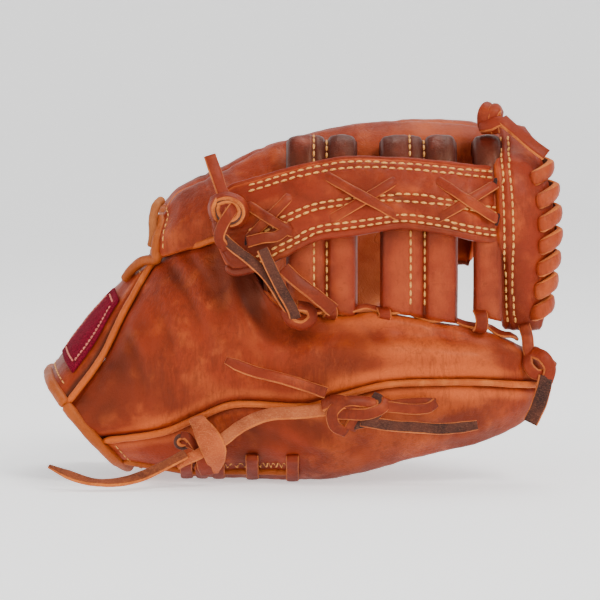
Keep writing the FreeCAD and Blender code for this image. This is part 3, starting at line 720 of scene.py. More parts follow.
LACE = leather("lace_leather", *rgb(140, 48, 26, 78, 24, 16, 194, 96, 50), gloss=0.5,
               coat=0.05)
LACE_CUT = suede("lace_cut_edge", *rgb(206, 124, 56, 160, 80, 32, 230, 166, 96))
LACE_FLESH = suede("lace_flesh_side", *rgb(84, 50, 42, 44, 28, 28, 128, 86, 66))
SLIT = suede("slit_shadow", *rgb(40, 14, 8, 22, 8, 6, 70, 28, 14))
TAN = suede("tan_suede", *rgb(188, 102, 56, 150, 72, 34, 216, 146, 96), 0.75)
TAIL_END = suede("tail_end_suede", *rgb(134, 72, 40, 90, 46, 26, 176, 110, 66))
TAIL = suede("tail_suede", *rgb(176, 104, 66, 140, 72, 42, 206, 148, 106))
FELT = felt("label_felt", *rgb(132, 12, 40, 78, 4, 20, 166, 44, 68))
PAD = felt("pad_felt", *rgb(222, 214, 196, 180, 168, 146, 240, 234, 222))
GOLD = thread("gold_thread", *rgb(240, 176, 92, 176, 100, 40))
PINK = thread("pink_thread", *rgb(222, 128, 108, 160, 78, 66))
LACE_LOOK = [LACE, LACE_CUT, LACE_FLESH]
FLIPPED = [LACE_FLESH, LACE_CUT, LACE]
TAN_LOOK = [TAN, LACE_CUT, TAIL]
TAIL_LOOK = [TAIL_END, LACE_CUT, TAIL_END]

# ---------------------------------------------------------------- camera, light and floor


CAMERA_AWAY = 2.0
CAMERA_TILT = 3.5       # degrees above level
CAMERA_AIM = (-0.003, -0.075, 0.104)
VIEW_WIDTH = 0.33
SENSOR = 36
# Radius and height of the paper's rings.
FLOOR_RINGS = [(1.5, 0), (3, 0), (4.2, 0.1), (5.2, 0.6), (5.9, 1.6), (6.2, 3.2), (6.2, 5)]


def make_camera():
    data = bpy.data.cameras.new("camera")
    data.sensor_width = SENSOR
    data.lens = SENSOR * CAMERA_AWAY / VIEW_WIDTH
    camera = linked("camera", data)
    tilt = math.radians(CAMERA_TILT)
    aim = Vector(CAMERA_AIM)
    camera.location = aim + Vector((0, -math.cos(tilt), math.sin(tilt))) * CAMERA_AWAY
    camera.rotation_euler = (math.pi / 2 - tilt, 0, 0)
    bpy.context.scene.camera = camera


def add_light(name, at, to, size, power, color=(1, 1, 1)):
    data = bpy.data.lights.new(name, "AREA")
    data.size = size
    data.energy = power
    data.color = color
    light = linked(name, data)
    light.location = at
    light.rotation_euler = (Vector(to) - Vector(at)).to_track_quat("-Z", "Y").to_euler()


def make_stage():
    """Soft studio light on white paper that curves up around the glove."""
    turns = 48
    add_light("key", (0.95, -1.5, 1.7), (0, 0, 0.1), 0.7, 34, (1, 0.97, 0.93))
    add_light("top", (0.3, 0.5, 2.2), (0, 0, 0.1), 1.2, 26)
    add_light("fill", (-1.6, -1.6, 0.9), (0, 0, 0.1), 1.2, 6, (1, 0.97, 0.94))
    world = bpy.data.worlds.new("studio")
    world.use_nodes = True
    background = world.node_tree.nodes["Background"]
    background.inputs[0].default_value = (1, 1, 1, 1)
    background.inputs[1].default_value = 0.26
    bpy.context.scene.world = world
    points = [(radius * math.cos(math.tau * n / turns), radius * math.sin(math.tau * n / turns), height)
              for radius, height in FLOOR_RINGS for n in range(turns)] + [(0, 0, 0)]
    faces = [(len(points) - 1, n, (n + 1) % turns) for n in range(turns)]
    for i in range(len(FLOOR_RINGS) - 1):
        faces += [(i * turns + n, (i + 1) * turns + n, (i + 1) * turns + (n + 1) % turns,
                   i * turns + (n + 1) % turns) for n in range(turns)]
    mesh = bpy.data.meshes.new("floor")
    mesh.from_pydata(points, [], faces)
    mesh.polygons.foreach_set("use_smooth", [True] * len(faces))
    floor = linked("floor", mesh)
    s = Shader("paper")
    color = s.mix(s.noise(3, 2), (0.90, 0.90, 0.90, 1), (0.93, 0.93, 0.93, 1))
    mesh.materials.append(s.finish(color, 0.9, Emission_Color=(1, 1, 1, 1), Emission_Strength=0.62))



# ---------------------------------------------------------------- shell of the glove

THUMB_BEND = bend_at("thumb", 4.55, 24, 16)
FINGER_BEND = bend_at("outer_fingers", 6.6, 16, 16)
WEB_BEND = ("hand", "thumb", (0, 0, 0.185), (0, 0, 0.095))
# Stations 5 to 14: the palm side of the thumb stall goes on over its top to meet the thumb's back.
THUMB_CLOSE = {k: [(PALM_THUMB[k][2][0] + 1, PALM_THUMB[k][2][1])] for k in range(5)}
THUMB_CLOSE[5] = [(-34, 84)]
THUMB_CLOSE.update({k: [(THUMB[k][0][0] + 2.2, THUMB[k][0][1] - 1.2)] for k in range(6, 15)})
# Folds pressed into leather, one to a line: depth, width, then X and Z of its points.
FRONT_FOLDS = """
2.2 4.5  -35.2 134.2  -31.4 111.7  -20.9 86.9  -5.5 74.8
1.3 6  -20.9 103.4  0 82.5  28.6 69.3  66 67.1
1.5 4.5  0 91.3  27.5 82.5  66 82.5  105.6 79.2
1 4  -51.7 138.6  -45.1 117.2  -40.7 86.9
1.1 3.2  -77 124.3  -62.7 103.4  -50.6 74.8
0.9 3  -83.6 103.4  -72.6 81.4  -67.1 52.8
0.8 2.6  -67.1 130.9  -52.8 113.3  -46.2 93.5
0.8 5  -57.2 70.4  -20.9 60.5  16.5 63.8
0.9 3  27.5 93.5  39.6 85.8  46.2 75.9
0.8 3  71.5 91.3  80.3 81.4  83.6 72.6
0.7 2.6  -99 86.9  -88 63.8  -84.7 37.4
"""
LOW_FOLDS = """
1.4 4  0 37.4  16.5 26.4  39.6 23.1
1.2 5  44 34.7  77 33  112.8 42.9
1 4  -27.5 31.9  0 19.8  24.2 14.3
0.7 3  71.5 19.8  99 24.2  126.5 37.4
"""
SPINE_FOLDS = """
0.25 4  -20.9 171.6  0 160.6  24.8 150.7
0.7 3  44 163.9  66 155.1
0.8 3  105.6 169.4  110 150.7  114.4 136.4
"""
# Where the hide is painted darker (below 0) or lighter (above 0): X, Z, reach, amount. The light spots along
# the thumb's top ridge and over the finger tops are painted highlights.
TONES = numbers("""
-52.3 173.8 22 -0.55   -110 45.7 22 -0.6   -103.4 75.9 20 -0.35   -71.5 78.7 30 -0.15
-29.7 108.9 14 -0.7   -38.5 128.2 16 -0.4   0 74.8 26 -0.25   -74.2 114.4 14 -0.35
-27.5 18.2 24 -0.5   93.5 103.4 20 -0.3   16.5 91.3 16 0.35   55 80.3 34 0.5
99 78.7 30 0.45   -55 56.7 22 0.25   33 26.4 26 0.35   77 31.9 26 0.25
66 195.8 34 0.4   121 70.4 16 -0.4   -88 26.4 18 0.3   0 191.4 20 0.2
""", 4)


def tones(grid):
    """Broad light and dark areas of the hide, with painted highlights on the thumb ridge and the finger tops.
    """
    total = np.zeros(grid.shape[:2])
    for x, z, reach, amount in TONES:
        total += amount * np.exp(-((grid[..., 0] - x) ** 2 + (grid[..., 2] - z) ** 2) / reach ** 2)
    return total


def folds(grid, text):
    """Height of fold lines drawn in X and Z; the same height also paints shade into their troughs."""
    flat = grid * (1, 0, 1)
    height = np.zeros(grid.shape[:2])
    for row in text.strip().splitlines():
        depth, width, *line = (float(n) for n in row.split())
        height += crease(flat, [(x, 0, z) for x, z in zip(line[::2], line[1::2])], depth, width)
    return height


def leather_panel(name, grid, inward, material, thickness=3.0, seams=(True, True), lines="", seed=1, puff=1.0,
                  lump=0.7, extra=None):
    """Panel whose seamed sides roll down into the welt and whose surface is gently uneven."""
    first, last = edge_runs(grid)
    height = puff * ramp(np.minimum(first, last), 1, 16) + lump * rough(grid, 34, seed)
    height += 0.30 * rough(grid, 11, seed + 1, (1, 1, 1.6)) + 0.12 * rough(grid, 4, seed + 2)
    fold = 0.75 * folds(grid, lines)
    # Fold troughs are painted darker as painted shade, and their low side ridges lighter.
    wear_and_shade = 0.30 * fold + 0.30 * rough(grid, 20, seed + 4) + tones(grid)
    # At a seam the colour gets painted shade where the panel dips into the welt, and a lighter worn band just
    # beside it.
    for run, seamed in ((first, seams[0]), (last, seams[1])):
        if seamed:
            height -= 2.2 * bell(run, 2.2)
            wear_and_shade += 0.5 * bell(run - 5, 3) - 0.9 * bell(run, 1.5)
        else:
            wear_and_shade += 0.5 * bell(run, 1.5)
    height += fold
    if extra is not None:
        height += extra
    return shell(name, grid, inward, thickness, material, height, wear_and_shade)


def lining(name, node, table, start, stop, part, rows, count, trim, sink, thickness, lump, seed, move):
    """Thin inner leather, sunk below the outline."""
    grid, inward = outline_grid(table, start, stop, part, rows, count, trim, sink)
    piece = leather_panel(name, grid, inward, INNER, thickness, (False, False), seed=seed, puff=0, lump=lump)
    settle(piece, "lining_leather", node, move=move)


def thumb_side():
    rows = 200
    grid, inward = outline_grid(THUMB, 0, 14, slice(0, 4), rows, 60, (1.2, 1.2))
    first, _ = edge_runs(grid)
    k = np.linspace(0, 14, rows)[:, None]
    ridge = ramp(k, 4.8, 6.0) * (2.4 * bell(first - 6, 5) - 1.0 * bell(first, 1.6))
    ridge += -2.0 * bell(first, 2.2) * ramp(k, 4.8, 4.2)
    piece = leather_panel("thumb_back_hide", grid, inward, SHELL, seams=(False, True), lines=FRONT_FOLDS,
                          seed=1, puff=1.6, extra=ridge)
    settle(piece, "shell_leather", "thumb_base_panel", "thumb_back_panel", move=THUMB_BEND)
    palm_side = joined({k: THUMB[k][3:] for k in THUMB}, PALM_THUMB, THUMB_CLOSE)
    grid, inward = outline_grid(palm_side, 0, 14, slice(None), 180, 84, (1.2, 0.3))
    piece = leather_panel("thumb_palm_hide", grid, inward, SHELL, seams=(True, False), lines=LOW_FOLDS,
                          seed=11, puff=0.6)
    settle(piece, "shell_leather", "palm_thumb_panel", "palm_heel_panel", move=THUMB_BEND)
    lining("thumb_stall_lining", "thumb_lining", THUMB, 5, 12, slice(0, 4), 60, 24, (9, 6), 3.5, 1.6, 0.7, 14,
           "thumb")


def palm_side():
    grid, inward = outline_grid(PALM_FINGERS, 0, 10.9, slice(0, 4), 150, 60, (0.2, 0))
    _, last = edge_runs(grid)
    under = -3.3 * ramp(last, 13, 6)
    piece = leather_panel("palm_pocket_hide", grid, inward, PALM, seams=(False, False), seed=21, puff=0.2,
                          extra=under)
    settle(piece, "palm_leather", "palm_centre_panel")
    grid, inward = outline_grid(PALM_FINGERS, 0, 10.6, slice(2, None), 150, 60, (0.2, 1.2))
    piece = leather_panel("palm_outer_hide", grid, inward, PALM, seams=(False, True), seed=25, puff=0.4)
    settle(piece, "palm_leather", "palm_corner_panel", "palm_outer_panel", move=FINGER_BEND)
    heel = joined({k: THUMB[k][3:] for k in THUMB}, PALM_THUMB, PALM_FINGERS)
    lining("heel_lining", "palm_lining", heel, 0.5, 4, slice(1, -2), 40, 70, (4, 0), 9.5, 1.6, 0.5, 28,
           "hand")


def knuckles(grid, rows, places, seed):
    """Shallow folds across a finger back."""
    k = np.linspace(0, 1, rows)
    height = np.zeros(grid.shape[:2])
    bend = 0.012 * rough(grid, 30, seed)
    full = np.concatenate([k, np.full(len(grid) - rows, 1.2)])[:, None] + bend
    for at in places:
        height -= 0.8 * bell(full - at, 0.012) - 0.5 * bell(full - at, 0.035)
    return height


def finger_backs():
    rows = 130
    backs = (
        ("index_back_hide", INDEX, 3.45, 11.4, 0.55, 44, 30, (0.6, 1.3), (False, True), "hand",
         "index_back_panel"),
        ("middle_back_hide", MIDDLE, 3.45, 11.4, 0.55, 44, 34, (1.3, 1.3), (True, True), "hand",
         "middle_back_panel"),
        ("ring_back_hide", RING, 3.45, 10.8, 0.55, 44, 38, (1.3, 1.3), (True, True), FINGER_BEND,
         "ring_base_panel", "ring_back_panel"),
        ("little_finger_hide", PINKY, 0, 10.5, 0.6, 76, 42, (1.3, 1.3), (True, True), FINGER_BEND,
         "pinky_heel_panel", "pinky_back_panel"),
    )
    for name, table, start, stop, tip, count, seed, trim, seams, move, *nodes in backs:
        grid, inward = outline_grid(table, start, stop, slice(None), rows, count, trim, tip=tip)
        if table is INDEX:
            near = ramp(np.arange(count), 24, 0)[None, :] * ramp(np.arange(len(grid)), 26, 0)[:, None]
            grid = grid + near[..., None] * np.array((-11.0, -1.5, -5.2))
        extra = knuckles(grid, rows, (0.16, 0.22, 0.52, 0.58, 0.80), seed)
        piece = leather_panel(name, grid, inward, SHELL, 3.0, seams, seed=seed, puff=2.2, extra=extra)
        settle(piece, "shell_leather", *nodes, move=move)
    linings = (("index", INDEX, 6, 10.5, "hand"), ("middle", MIDDLE, 6, 10.5, "hand"),
               ("ring", RING, 7, 10.5, "outer_fingers"), ("pinky", PINKY, 7, 10, "outer_fingers"))
    for n, (name, table, start, stop, move) in enumerate(linings):
        lining(name + "_stall_lining", name + "_lining", table, start, stop, slice(0, 4), 50, 24, (5, 5), 3.6,
               1.5, 0.2, 50 + n, move)
    walls = []
    for n, (table, y) in enumerate(((INDEX, 2.5), (MIDDLE, 29), (RING, 58))):
        grid = []
        for k in np.linspace(7.5, 10.5, 40):
            top = section(table, k)[-1][1] - 5.5
            floor = even_points(section(PALM_FINGERS, k), 60)
            foot = max(s for at, s in floor if abs(at - y) < 4) + 5
            grid.append([place(k, y, s) for s in np.linspace(top, foot, 16)])
        grid = np.array(grid)
        inward = np.tile((0.0, 1.0, 0.0), grid.shape[:2] + (1,))
        walls.append(shell("finger_wall", grid, inward, 1.5, INNER, 0.4 * rough(grid, 14, 60 + n)))
    settle(merge("outer_stall_wall", [walls[2]]), "lining_leather", "outer_finger_wall", move="outer_fingers")
    settle(merge("inner_stall_walls", walls[:2]), "lining_leather", "finger_walls")


def wrist():
    grid, inward = outline_grid(STRAP, 0, 2.8, slice(None), 60, 90, (1.3, 1.3))
    piece = leather_panel("wrist_strap_leather", grid, inward, SHELL, 4.0, (True, True), seed=70, puff=0.6)
    settle(piece, "shell_leather", "wrist_strap")
    grid, inward = outline_grid(STRAP, 0.4, 1.85, slice(0, 3), 44, 40, (7, 0), -1.6)
    first, last = edge_runs(grid)
    edge = np.minimum(np.minimum(first, last), 0.75 * np.minimum(np.arange(44), np.arange(44)[::-1])[:, None])
    height = 0.7 + 0.5 * ramp(edge, 0, 2) - 0.7 * bell(edge - 2.6, 1.0) + 0.25 * rough(grid, 6, 72)
    patch = shell("label_patch_felt", grid, inward, 2.0, FELT, height)
    settle(patch, "label_cloth", "label_patch")
    top, out = SURFACES["label_patch_felt"]
    border = [(top[3:-3, 4], out[3:-3, 4]), (top[3:-3, -5], out[3:-3, -5]),
              (top[3, 4:-4], out[3, 4:-4]), (top[-4, 4:-4], out[-4, 4:-4])]
    settle(stitches("label_stitching", border, PINK, 2.6, 2.2, 0.55, 0.4), "thread")
    heel = joined({k: THUMB[k][3:] for k in THUMB}, PALM_THUMB)
    for name, table, part, trim, sink, node in (
            ("thumb_heel_felt", heel, slice(0, 4), (7, 7), 5.0, "thumb_heel_pad"),
            ("little_finger_heel_felt", PINKY, slice(3, None), (6, 5), 4.6, "pinky_heel_pad")):
        grid, inward = outline_grid(table, 1, 3.6, part, 30, 30, trim, sink)
        settle(shell(name, grid, inward, 3.4, PAD, 0.3 * rough(grid, 8, 75)), "pad_felt", node)


# ---------------------------------------------------------------- welts and bindings


def rail(table, column, start, stop, step=0.06):
    count = int((stop - start) / step)
    return np.array([place(k, *section(table, k)[column]) for k in np.linspace(start, stop, count)])


def welts():
    rolls = (
        ("thumb", THUMB, 3, 0.05, 13.9, THUMB_BEND, "thumb_base_welt", "thumb_welt"),
        ("strap", THUMB, 0, 0, 2.9, "hand", "strap_welt"),
        ("index_thumb", THUMB, 0, 3.0, 4.6, "hand", "index_thumb_welt"),
        ("index_middle", INDEX, 3, 3.5, 11.4, "hand", "index_middle_welt"),
        ("middle_ring", MIDDLE, 3, 3.5, 11.4, "hand", "middle_ring_welt"),
        ("ring", PINKY, 0, 3.6, 10.6, FINGER_BEND, "ring_heel_welt", "ring_pinky_welt"),
        ("little_finger", PINKY, 5, 0.1, 10.6, FINGER_BEND, "pinky_heel_welt", "pinky_welt"),
    )
    for n, (seam, table, column, start, stop, move, *nodes) in enumerate(rolls):
        piece = tube(seam + "_seam_welt", rail(table, column, start, stop), 1.95, WELT, (0.1, 0.2, 1), 14,
                     seed=80 + n, lumps=0.10)
        settle(piece, "welt_leather", *nodes, move=move)


def edge_route(table, k, ahead, count, trim=(0, 0)):
    """Route along the leather's edge at station k, moved ahead along the glove by a distance."""
    lean = math.radians(spline_at(STATIONS, k / (len(STATIONS) - 1))[2])
    step = np.array((math.sin(lean), 0, -math.cos(lean))) * ahead
    return np.array([place(k, *p) for p in even_points(section(table, k), count, trim)]) + step


def bindings():
    loop = {k: THUMB[k] + PALM_THUMB[k] + PALM_FINGERS[k] + PINKY[k][::-1][1:] + STRAP[k][::-1] + THUMB[k][:1]
            for k in (0, 1)}
    rim = tube("wrist_rim_binding", edge_route(loop, 0, -1.6, 330), 3.2, BINDING, (1, 0, 0.9), seed=90,
               lumps=0.08)
    settle(rim, "binding_leather", "wrist_binding")
    rim = tube("strap_front_edge_binding", edge_route(STRAP, 2.8, 1.6, 70, (5, 3)), 2.7, BINDING, (1, 0, 0.4),
               seed=92, lumps=0.08)
    settle(rim, "binding_leather", "strap_front_binding")
    near = SURFACES["index_back_hide"][0][0] + (-0.6, 0.6, -1.4)
    edge = np.concatenate([[(-100.1, -13, 110.6), (-95.2, -17, 117.2), (-88.6, -22, 122.1)], near[::4],
                           edge_route(joined(MIDDLE, RING), 3.5, -1.8, 30, (1, 2))])
    inner = even_points([(-78.7, -6, 156.2), (-82, -12, 152.4), (-83.6, -18, 144.1), (-83.1, -22, 136.4),
                         (-84.7, -22, 129.8)], 50)
    rims = [tube("rim", even_points(edge, 170), 2.9, BINDING, (1, 0, 0.4), seed=93, lumps=0.08),
            tube("rim", inner, 2.5, INNER, (0, -1, 0.2), seed=95, lumps=0.12)]
    settle(merge("hand_opening_edge_binding", rims), "binding_leather", "hand_opening_binding")
    rows = []
    for name, row, where in (("thumb_palm_hide", 2, slice(4, -2)), ("palm_outer_hide", 2, slice(2, -4)),
                             ("little_finger_hide", 2, slice(4, -4)),
                             ("wrist_strap_leather", 3, slice(4, -4)),
                             ("wrist_strap_leather", -8, slice(4, -4)),
                             ("index_back_hide", 3, slice(2, -4))):
        top, out = SURFACES[name]
        rows.append((top[row, where], out[row, where]))
    settle(stitches("rim_stitching", rows, GOLD, 4.2, 3.1, 0.38), "thread")


def heel_edge():
    """Bound lower edge of the palm leather, from the wrist rim to the thumb, with its overcast stitches."""
    line, above, out = [], [], []
    for k in np.linspace(0.03, 4.5, 90):
        outline = even_points(section(THUMB, k)[3:], 120)
        raised = shifted(outline, -1.3)
        low = int(np.argmin(np.abs(outline[:, 1] - 7) + 100 * (outline[:, 0] > -40)))
        high = int(np.argmin(np.abs(outline[:, 1] - 12) + 100 * (outline[:, 0] > -45)))
        line.append(place(k, *raised[low]))
        above.append(place(k, *shifted(outline, -1.0)[high]))
        out.append(unit(np.array(place(k, *raised[high])) - np.array(place(k, *outline[high]))))
    line, above, out = np.array(line), np.array(above), np.array(out)
    settle(tube("heel_edge_roll", line, 2.1, BINDING, (0.1, 0.2, 1), seed=96, lumps=0.12), "binding_leather")
    zigzag = above + out * 0.3 + np.stack([0 * out[:, 0], 0 * out[:, 0], 1.5 * np.sin(np.arange(90) * 1.3)],
                                          axis=1)
    settle(stitches("heel_edge_stitching", [(zigzag[34:], out[34:])], GOLD, 4.4, 4.0, 0.5, 0.5), "thread")


# ---------------------------------------------------------------- web


def facing_front(grid):
    """Inward directions of a grid that faces -Y."""
    normal = unit(np.cross(np.gradient(grid, axis=0), np.gradient(grid, axis=1)))
    return normal * (1 if normal[..., 1].mean() > 0 else -1)


def seam_line(name, distance, start, stop):
    """Points of a piece's face where distance is nearest to 0 in each row, with their outward directions."""
    face, out = SURFACES[name]
    row = np.arange(len(distance))[start:stop]
    column = np.argmin(np.abs(distance), axis=1)[start:stop]
    return face[row, column], out[row, column]


def web_spine():
    xs = np.linspace(SPINE_START, SPINE_STOP + 0.5, 180)
    grid = []
    for x in xs:
        row = np.array([(x, y, z) for y, z in even_points(section(SPINE, min(x, SPINE_STOP)), 56)])
        row[:, 1] += 8.0 * ramp(x, 92, SPINE_STOP)
        grow = math.sqrt(max(1 - (max(-36 - x, 0) / 14.3) ** 2, 0.03))
        grid.append(row.mean(axis=0) + (row - row.mean(axis=0)) * grow)
    grid = np.array(grid)
    inward = facing_front(grid)
    top, low = edge_runs(grid)
    height = 0.9 * ramp(np.minimum(top, low), 0, 4) + 0.6 * rough(grid, 22, 101) + 0.2 * rough(grid, 6, 102)
    middle = top - 0.60 * (top + low)
    height += 1.1 * bell(low - 8, 5) * ramp(grid[..., 0], -20, 10)
    height += 0.7 * np.sin(grid[..., 0] / 5.2) * bell(low, 5) * 0.5
    seams = (top - 2.6, top - 6.2, low - 2.8, low - 6.2, middle - 1.8, middle + 1.8)
    for distance in seams:
        height -= 0.55 * bell(distance, 0.9)
    fold = folds(grid, SPINE_FOLDS)
    # Lighter worn edges; the fold troughs are painted darker as painted shade.
    wear_and_shade = 0.7 * bell(top, 1.8) + 0.6 * bell(low, 1.8) + 0.3 * rough(grid, 12, 104) + fold
    piece = shell("web_spine_leather", grid, inward, 4.6, WEB, height + fold, wear_and_shade)
    settle(piece, "web_leather", "web_spine_strap", move=WEB_BEND)
    face, out = SURFACES["web_spine_leather"]
    rows = [seam_line("web_spine_leather", distance, 22, -2) for distance in seams]
    settle(stitches("web_spine_stitching", rows, GOLD, 4.7, 3.7, 0.68, 0.5), "thread", move=WEB_BEND)
    lips = [tube("lip", face[10:-1, -1] + out[10:-1, -1] * 0.2 + (0, 1.2, 0.3), 2.3, ROLL, (0, -1, 0), 12,
                 seed=106, lumps=0.12),
            tube("lip", face[8:-1, 0] + (0, 1.2, -0.2), 1.5, WEB, (0, -1, 0), 12, seed=107, lumps=0.12)]
    settle(merge("web_spine_edge_rolls", lips), "web_leather", move=WEB_BEND)


def web_bands():
    lines = []
    plans = (("web_band_1", -7, 30.5, (7.4, 14.6), 105, 95, 111),
             ("web_band_2", 45, 86, (60.5, 68.8), 99, 92, 121),
             ("web_band_3", 96.5, 111.5, (), 97, 93, 131))
    for node, left, right, seams, foot_left, foot_right, seed in plans:
        count = int((right - left) * 1.3)
        across = np.linspace(0, 1, count)
        x = left + (right - left) * across
        foot = foot_left + (foot_right - foot_left) * across
        grid = []
        for t in np.linspace(0, 1, 90):
            row = []
            for a, low in zip(x, foot):
                path = [(-66.0, low), (-68.5, (low + 124) / 2), (-67.5, 126), (-67, 142), (-64.5, 157),
                        (-58.5, 171), (-52, 184), (-44.5, 190.5), (-37.5, 189), (-33, 184)]
                y, z = spline_at(path, t)
                row.append((a, y, z))
            grid.append(row)
        grid = np.array(grid)
        tangent = unit(np.gradient(grid, axis=0))
        inward = np.stack([np.zeros(grid.shape[:2]), tangent[..., 2], -tangent[..., 1]], axis=2)
        rolls = [(left, seams[1] - 1.0), (seams[1] + 0.6, right)] if seams else [(left, right)]
        bulge = np.zeros(count)
        for a, b in rolls:
            u = (x - (a + b) / 2) / ((b - a) / 2)
            bulge = np.maximum(bulge, np.sqrt(np.clip(1 - np.abs(u) ** 2.4, 0, 1)))
        bulge = np.tile(bulge, (90, 1))
        lumpy = 0.7 * rough(grid, 16, seed, (1, 1, 2)) + 0.2 * rough(grid, 5, seed + 1)
        height = 2.8 * bulge + lumpy * (0.3 + 0.7 * bulge)
        for at in seams:
            height -= 0.9 * bell(grid[..., 0] - at, 1.1)
        # Painted shade in the dips between and beside the rolls, lighter crowns, and darker towards the tops
        # of the bands.
        wear_and_shade = 0.45 * bulge - 0.5 * (1 - bulge) + 0.35 * rough(grid, 18, seed + 2)
        wear_and_shade -= 1.1 * ramp(grid[..., 2], 158, 174)
        piece = shell(node + "_roll", grid, inward, 2.6 + 4.6 * bulge, ROLL, height, wear_and_shade)
        settle(piece, "web_leather", node, move=WEB_BEND)
        lines += [seam_line(node + "_roll", grid[..., 0] - at, 2, -6) for at in seams]
    settle(stitches("web_band_stitching", lines, GOLD, 4.7, 3.7, 0.65, 0.5), "thread", move=WEB_BEND)


WHIP_LOW, WHIP_PITCH = 98, 12.5    # height of the lowest whip loop on the web tip, and from loop to loop


def web_tip():
    zs = np.linspace(86, 198, 110)
    grid = np.array([[(x, y, z) for x, y in even_points(section(TIP, z), 34)] for z in zs])
    side = np.linspace(1, 0, 34)[None, :] ** 1.5
    grid[..., 0] -= 4.2 * side * ramp(grid[..., 2], 200, 176)
    grid[..., 1] -= 6.5 * side * ramp(grid[..., 2], 120, 136) * ramp(grid[..., 2], 190, 176)
    inward = facing_front(grid)
    first, last = edge_runs(grid)
    height = 1.0 * ramp(np.minimum(first, last), 0, 5) + 0.5 * rough(grid, 18, 141)
    seams = (first - 2.4, first - 6.6)
    for distance in seams:
        height -= 0.5 * bell(distance, 0.9)
    for z in np.arange(WHIP_LOW, 180, WHIP_PITCH):
        height -= 1.0 * bell(grid[..., 2] - z, 3) * ramp(last, 9, 2)
    wear_and_shade = 0.4 * rough(grid, 14, 142) + 0.4 * bell(first, 1.6)
    piece = shell("web_tip_leather", grid, inward, 4.0, WEB, height, wear_and_shade)
    settle(piece, "web_leather", "web_tip_piece", move=WEB_BEND)
    lines = [seam_line("web_tip_leather", distance, 2, -4) for distance in seams]
    settle(stitches("web_tip_stitching", lines, GOLD, 4.6, 3.6, 0.65, 0.5), "thread", move=WEB_BEND)
    whip = []
    for n in range(7):
        z = WHIP_LOW + WHIP_PITCH * n
        x, y = section(TIP, z)[2]
        front = section(TIP, z - 4)[1][1]
        route = [(x - 7.5, front + 1.5, z - 3.6), (x - 6.6, front - 2.2, z - 3.2),
                 (x - 2.5, y - 6.4, z - 1.5), (x + 2.2, y - 2.2, z + 1.5), (x + 3.0, y + 3.5, z + 3),
                 (x - 2, y + 7.5, z + 4.5), (x - 7, y + 6.5, z + 5)]
        out = [(-1, -0.4, 0), (-0.5, -1, 0), (0.3, -1, 0), (0.9, -0.4, 0), (0.8, 0.6, 0), (0, 1, 0),
               (0, 1, 0)]
        whip.append(lace("whip", route, out, 8.6, 3.8, seed=150 + n, cup=1.1,
                         look=[WHIP, LACE_CUT, LACE_FLESH]))
    settle(merge("web_tip_whip_lacing", whip), "lace_leather", "web_tip_lacing", move=WEB_BEND)


def on_spine(x, z, lift):
    """Point of the web spine's outer face at X and Z, moved outward by lift."""
    face = even_points(section(SPINE, min(max(x, SPINE_START), SPINE_STOP)), 80)
    y = min(face, key=lambda p: abs(p[1] - z))[0]
    return (x, y - lift, z)


def web_crosses():
    """Three crossed laces on the spine. Each strip dips into a slit at both ends."""
    strips = []
    crosses = (
        ((-29.7, 155.7), (-4.4, 140.2), (-5.5, 160.6), (-29.2, 136.4)),
        ((13.8, 171.6), (53.9, 149.6), (52.8, 169.4), (15.4, 146.9)),
        ((74.8, 169.4), (108.4, 147.4), (107.3, 166.7), (74.8, 148)),
    )
    for n, (a, b, c, d) in enumerate(crosses):
        for m, (start, stop, lift) in enumerate(((c, d, 1.9), (a, b, 4.2))):
            route = []
            for t, rise in ((0.0, -2.2), (0.05, 0.4), (0.26, 1.6), (0.5, lift), (0.74, 1.6), (0.95, 0.4),
                            (1.0, -2.2)):
                x, z = start[0] + (stop[0] - start[0]) * t, start[1] + (stop[1] - start[1]) * t
                route.append(on_spine(x, z, rise + 0.9))
            strips.append(lace("cross", route, (0, -1, 0.25), 5.6, 2.2, seed=170 + 2 * n + m, cup=0.5))
            for x, z in (start, stop):
                slit = [on_spine(x + dx, z + dz, 0.35) for dx, dz in ((-0.9, -3.3), (-0.2, 0), (0.6, 3.3))]
                strips.append(tube("slit", even_points(slit, 9), 1.1, SLIT, (0, -1, 0), 8, 0.5))
    settle(merge("web_cross_lacing", strips), "lace_leather", "web_cross_laces", move=WEB_BEND)


def thumb_ridge_lacing():
    """Lace running in and out along the thumb's top edge, with the loops that hold the bands' feet."""
    line = rail(THUMB, 0, 7.2, 12.2, 0.05)
    wave = np.arange(len(line)) / len(line)
    line = line + np.stack([0 * wave, 1.6 * np.sin(wave * 40) - 2.6, 1.2 + 0.9 * np.cos(wave * 40)], axis=1)
    strips = [lace("ridge", line[::4], (0, -0.7, 1), 4.6, 1.8, seed=190)]
    for n, (x, z, tall) in enumerate(((99.6, 90.8, 12), (46.2, 94.6, 6), (16.5, 95.7, 6))):
        y = -70.5 if n < 1 else -69
        route = [(x - 1, y + 6, z + tall * 0.5), (x, y, z + tall * 0.35), (x + 0.6, y - 1.6, z),
                 (x, y + 0.5, z - tall * 0.35), (x - 1, y + 5, z - tall * 0.45)]
        facing = [(0, -0.3, 1), (0, -1, 0.5), (0, -1, 0), (0, -1, -0.4), (0, -0.6, -1)]
        strips.append(lace("ridge_loop", route, facing, 7.0, 2.4, seed=192 + n))
    settle(merge("thumb_ridge_lacing", strips), "lace_leather", "web_thumb_lacing", move=WEB_BEND)


# ---------------------------------------------------------------- free lace ends


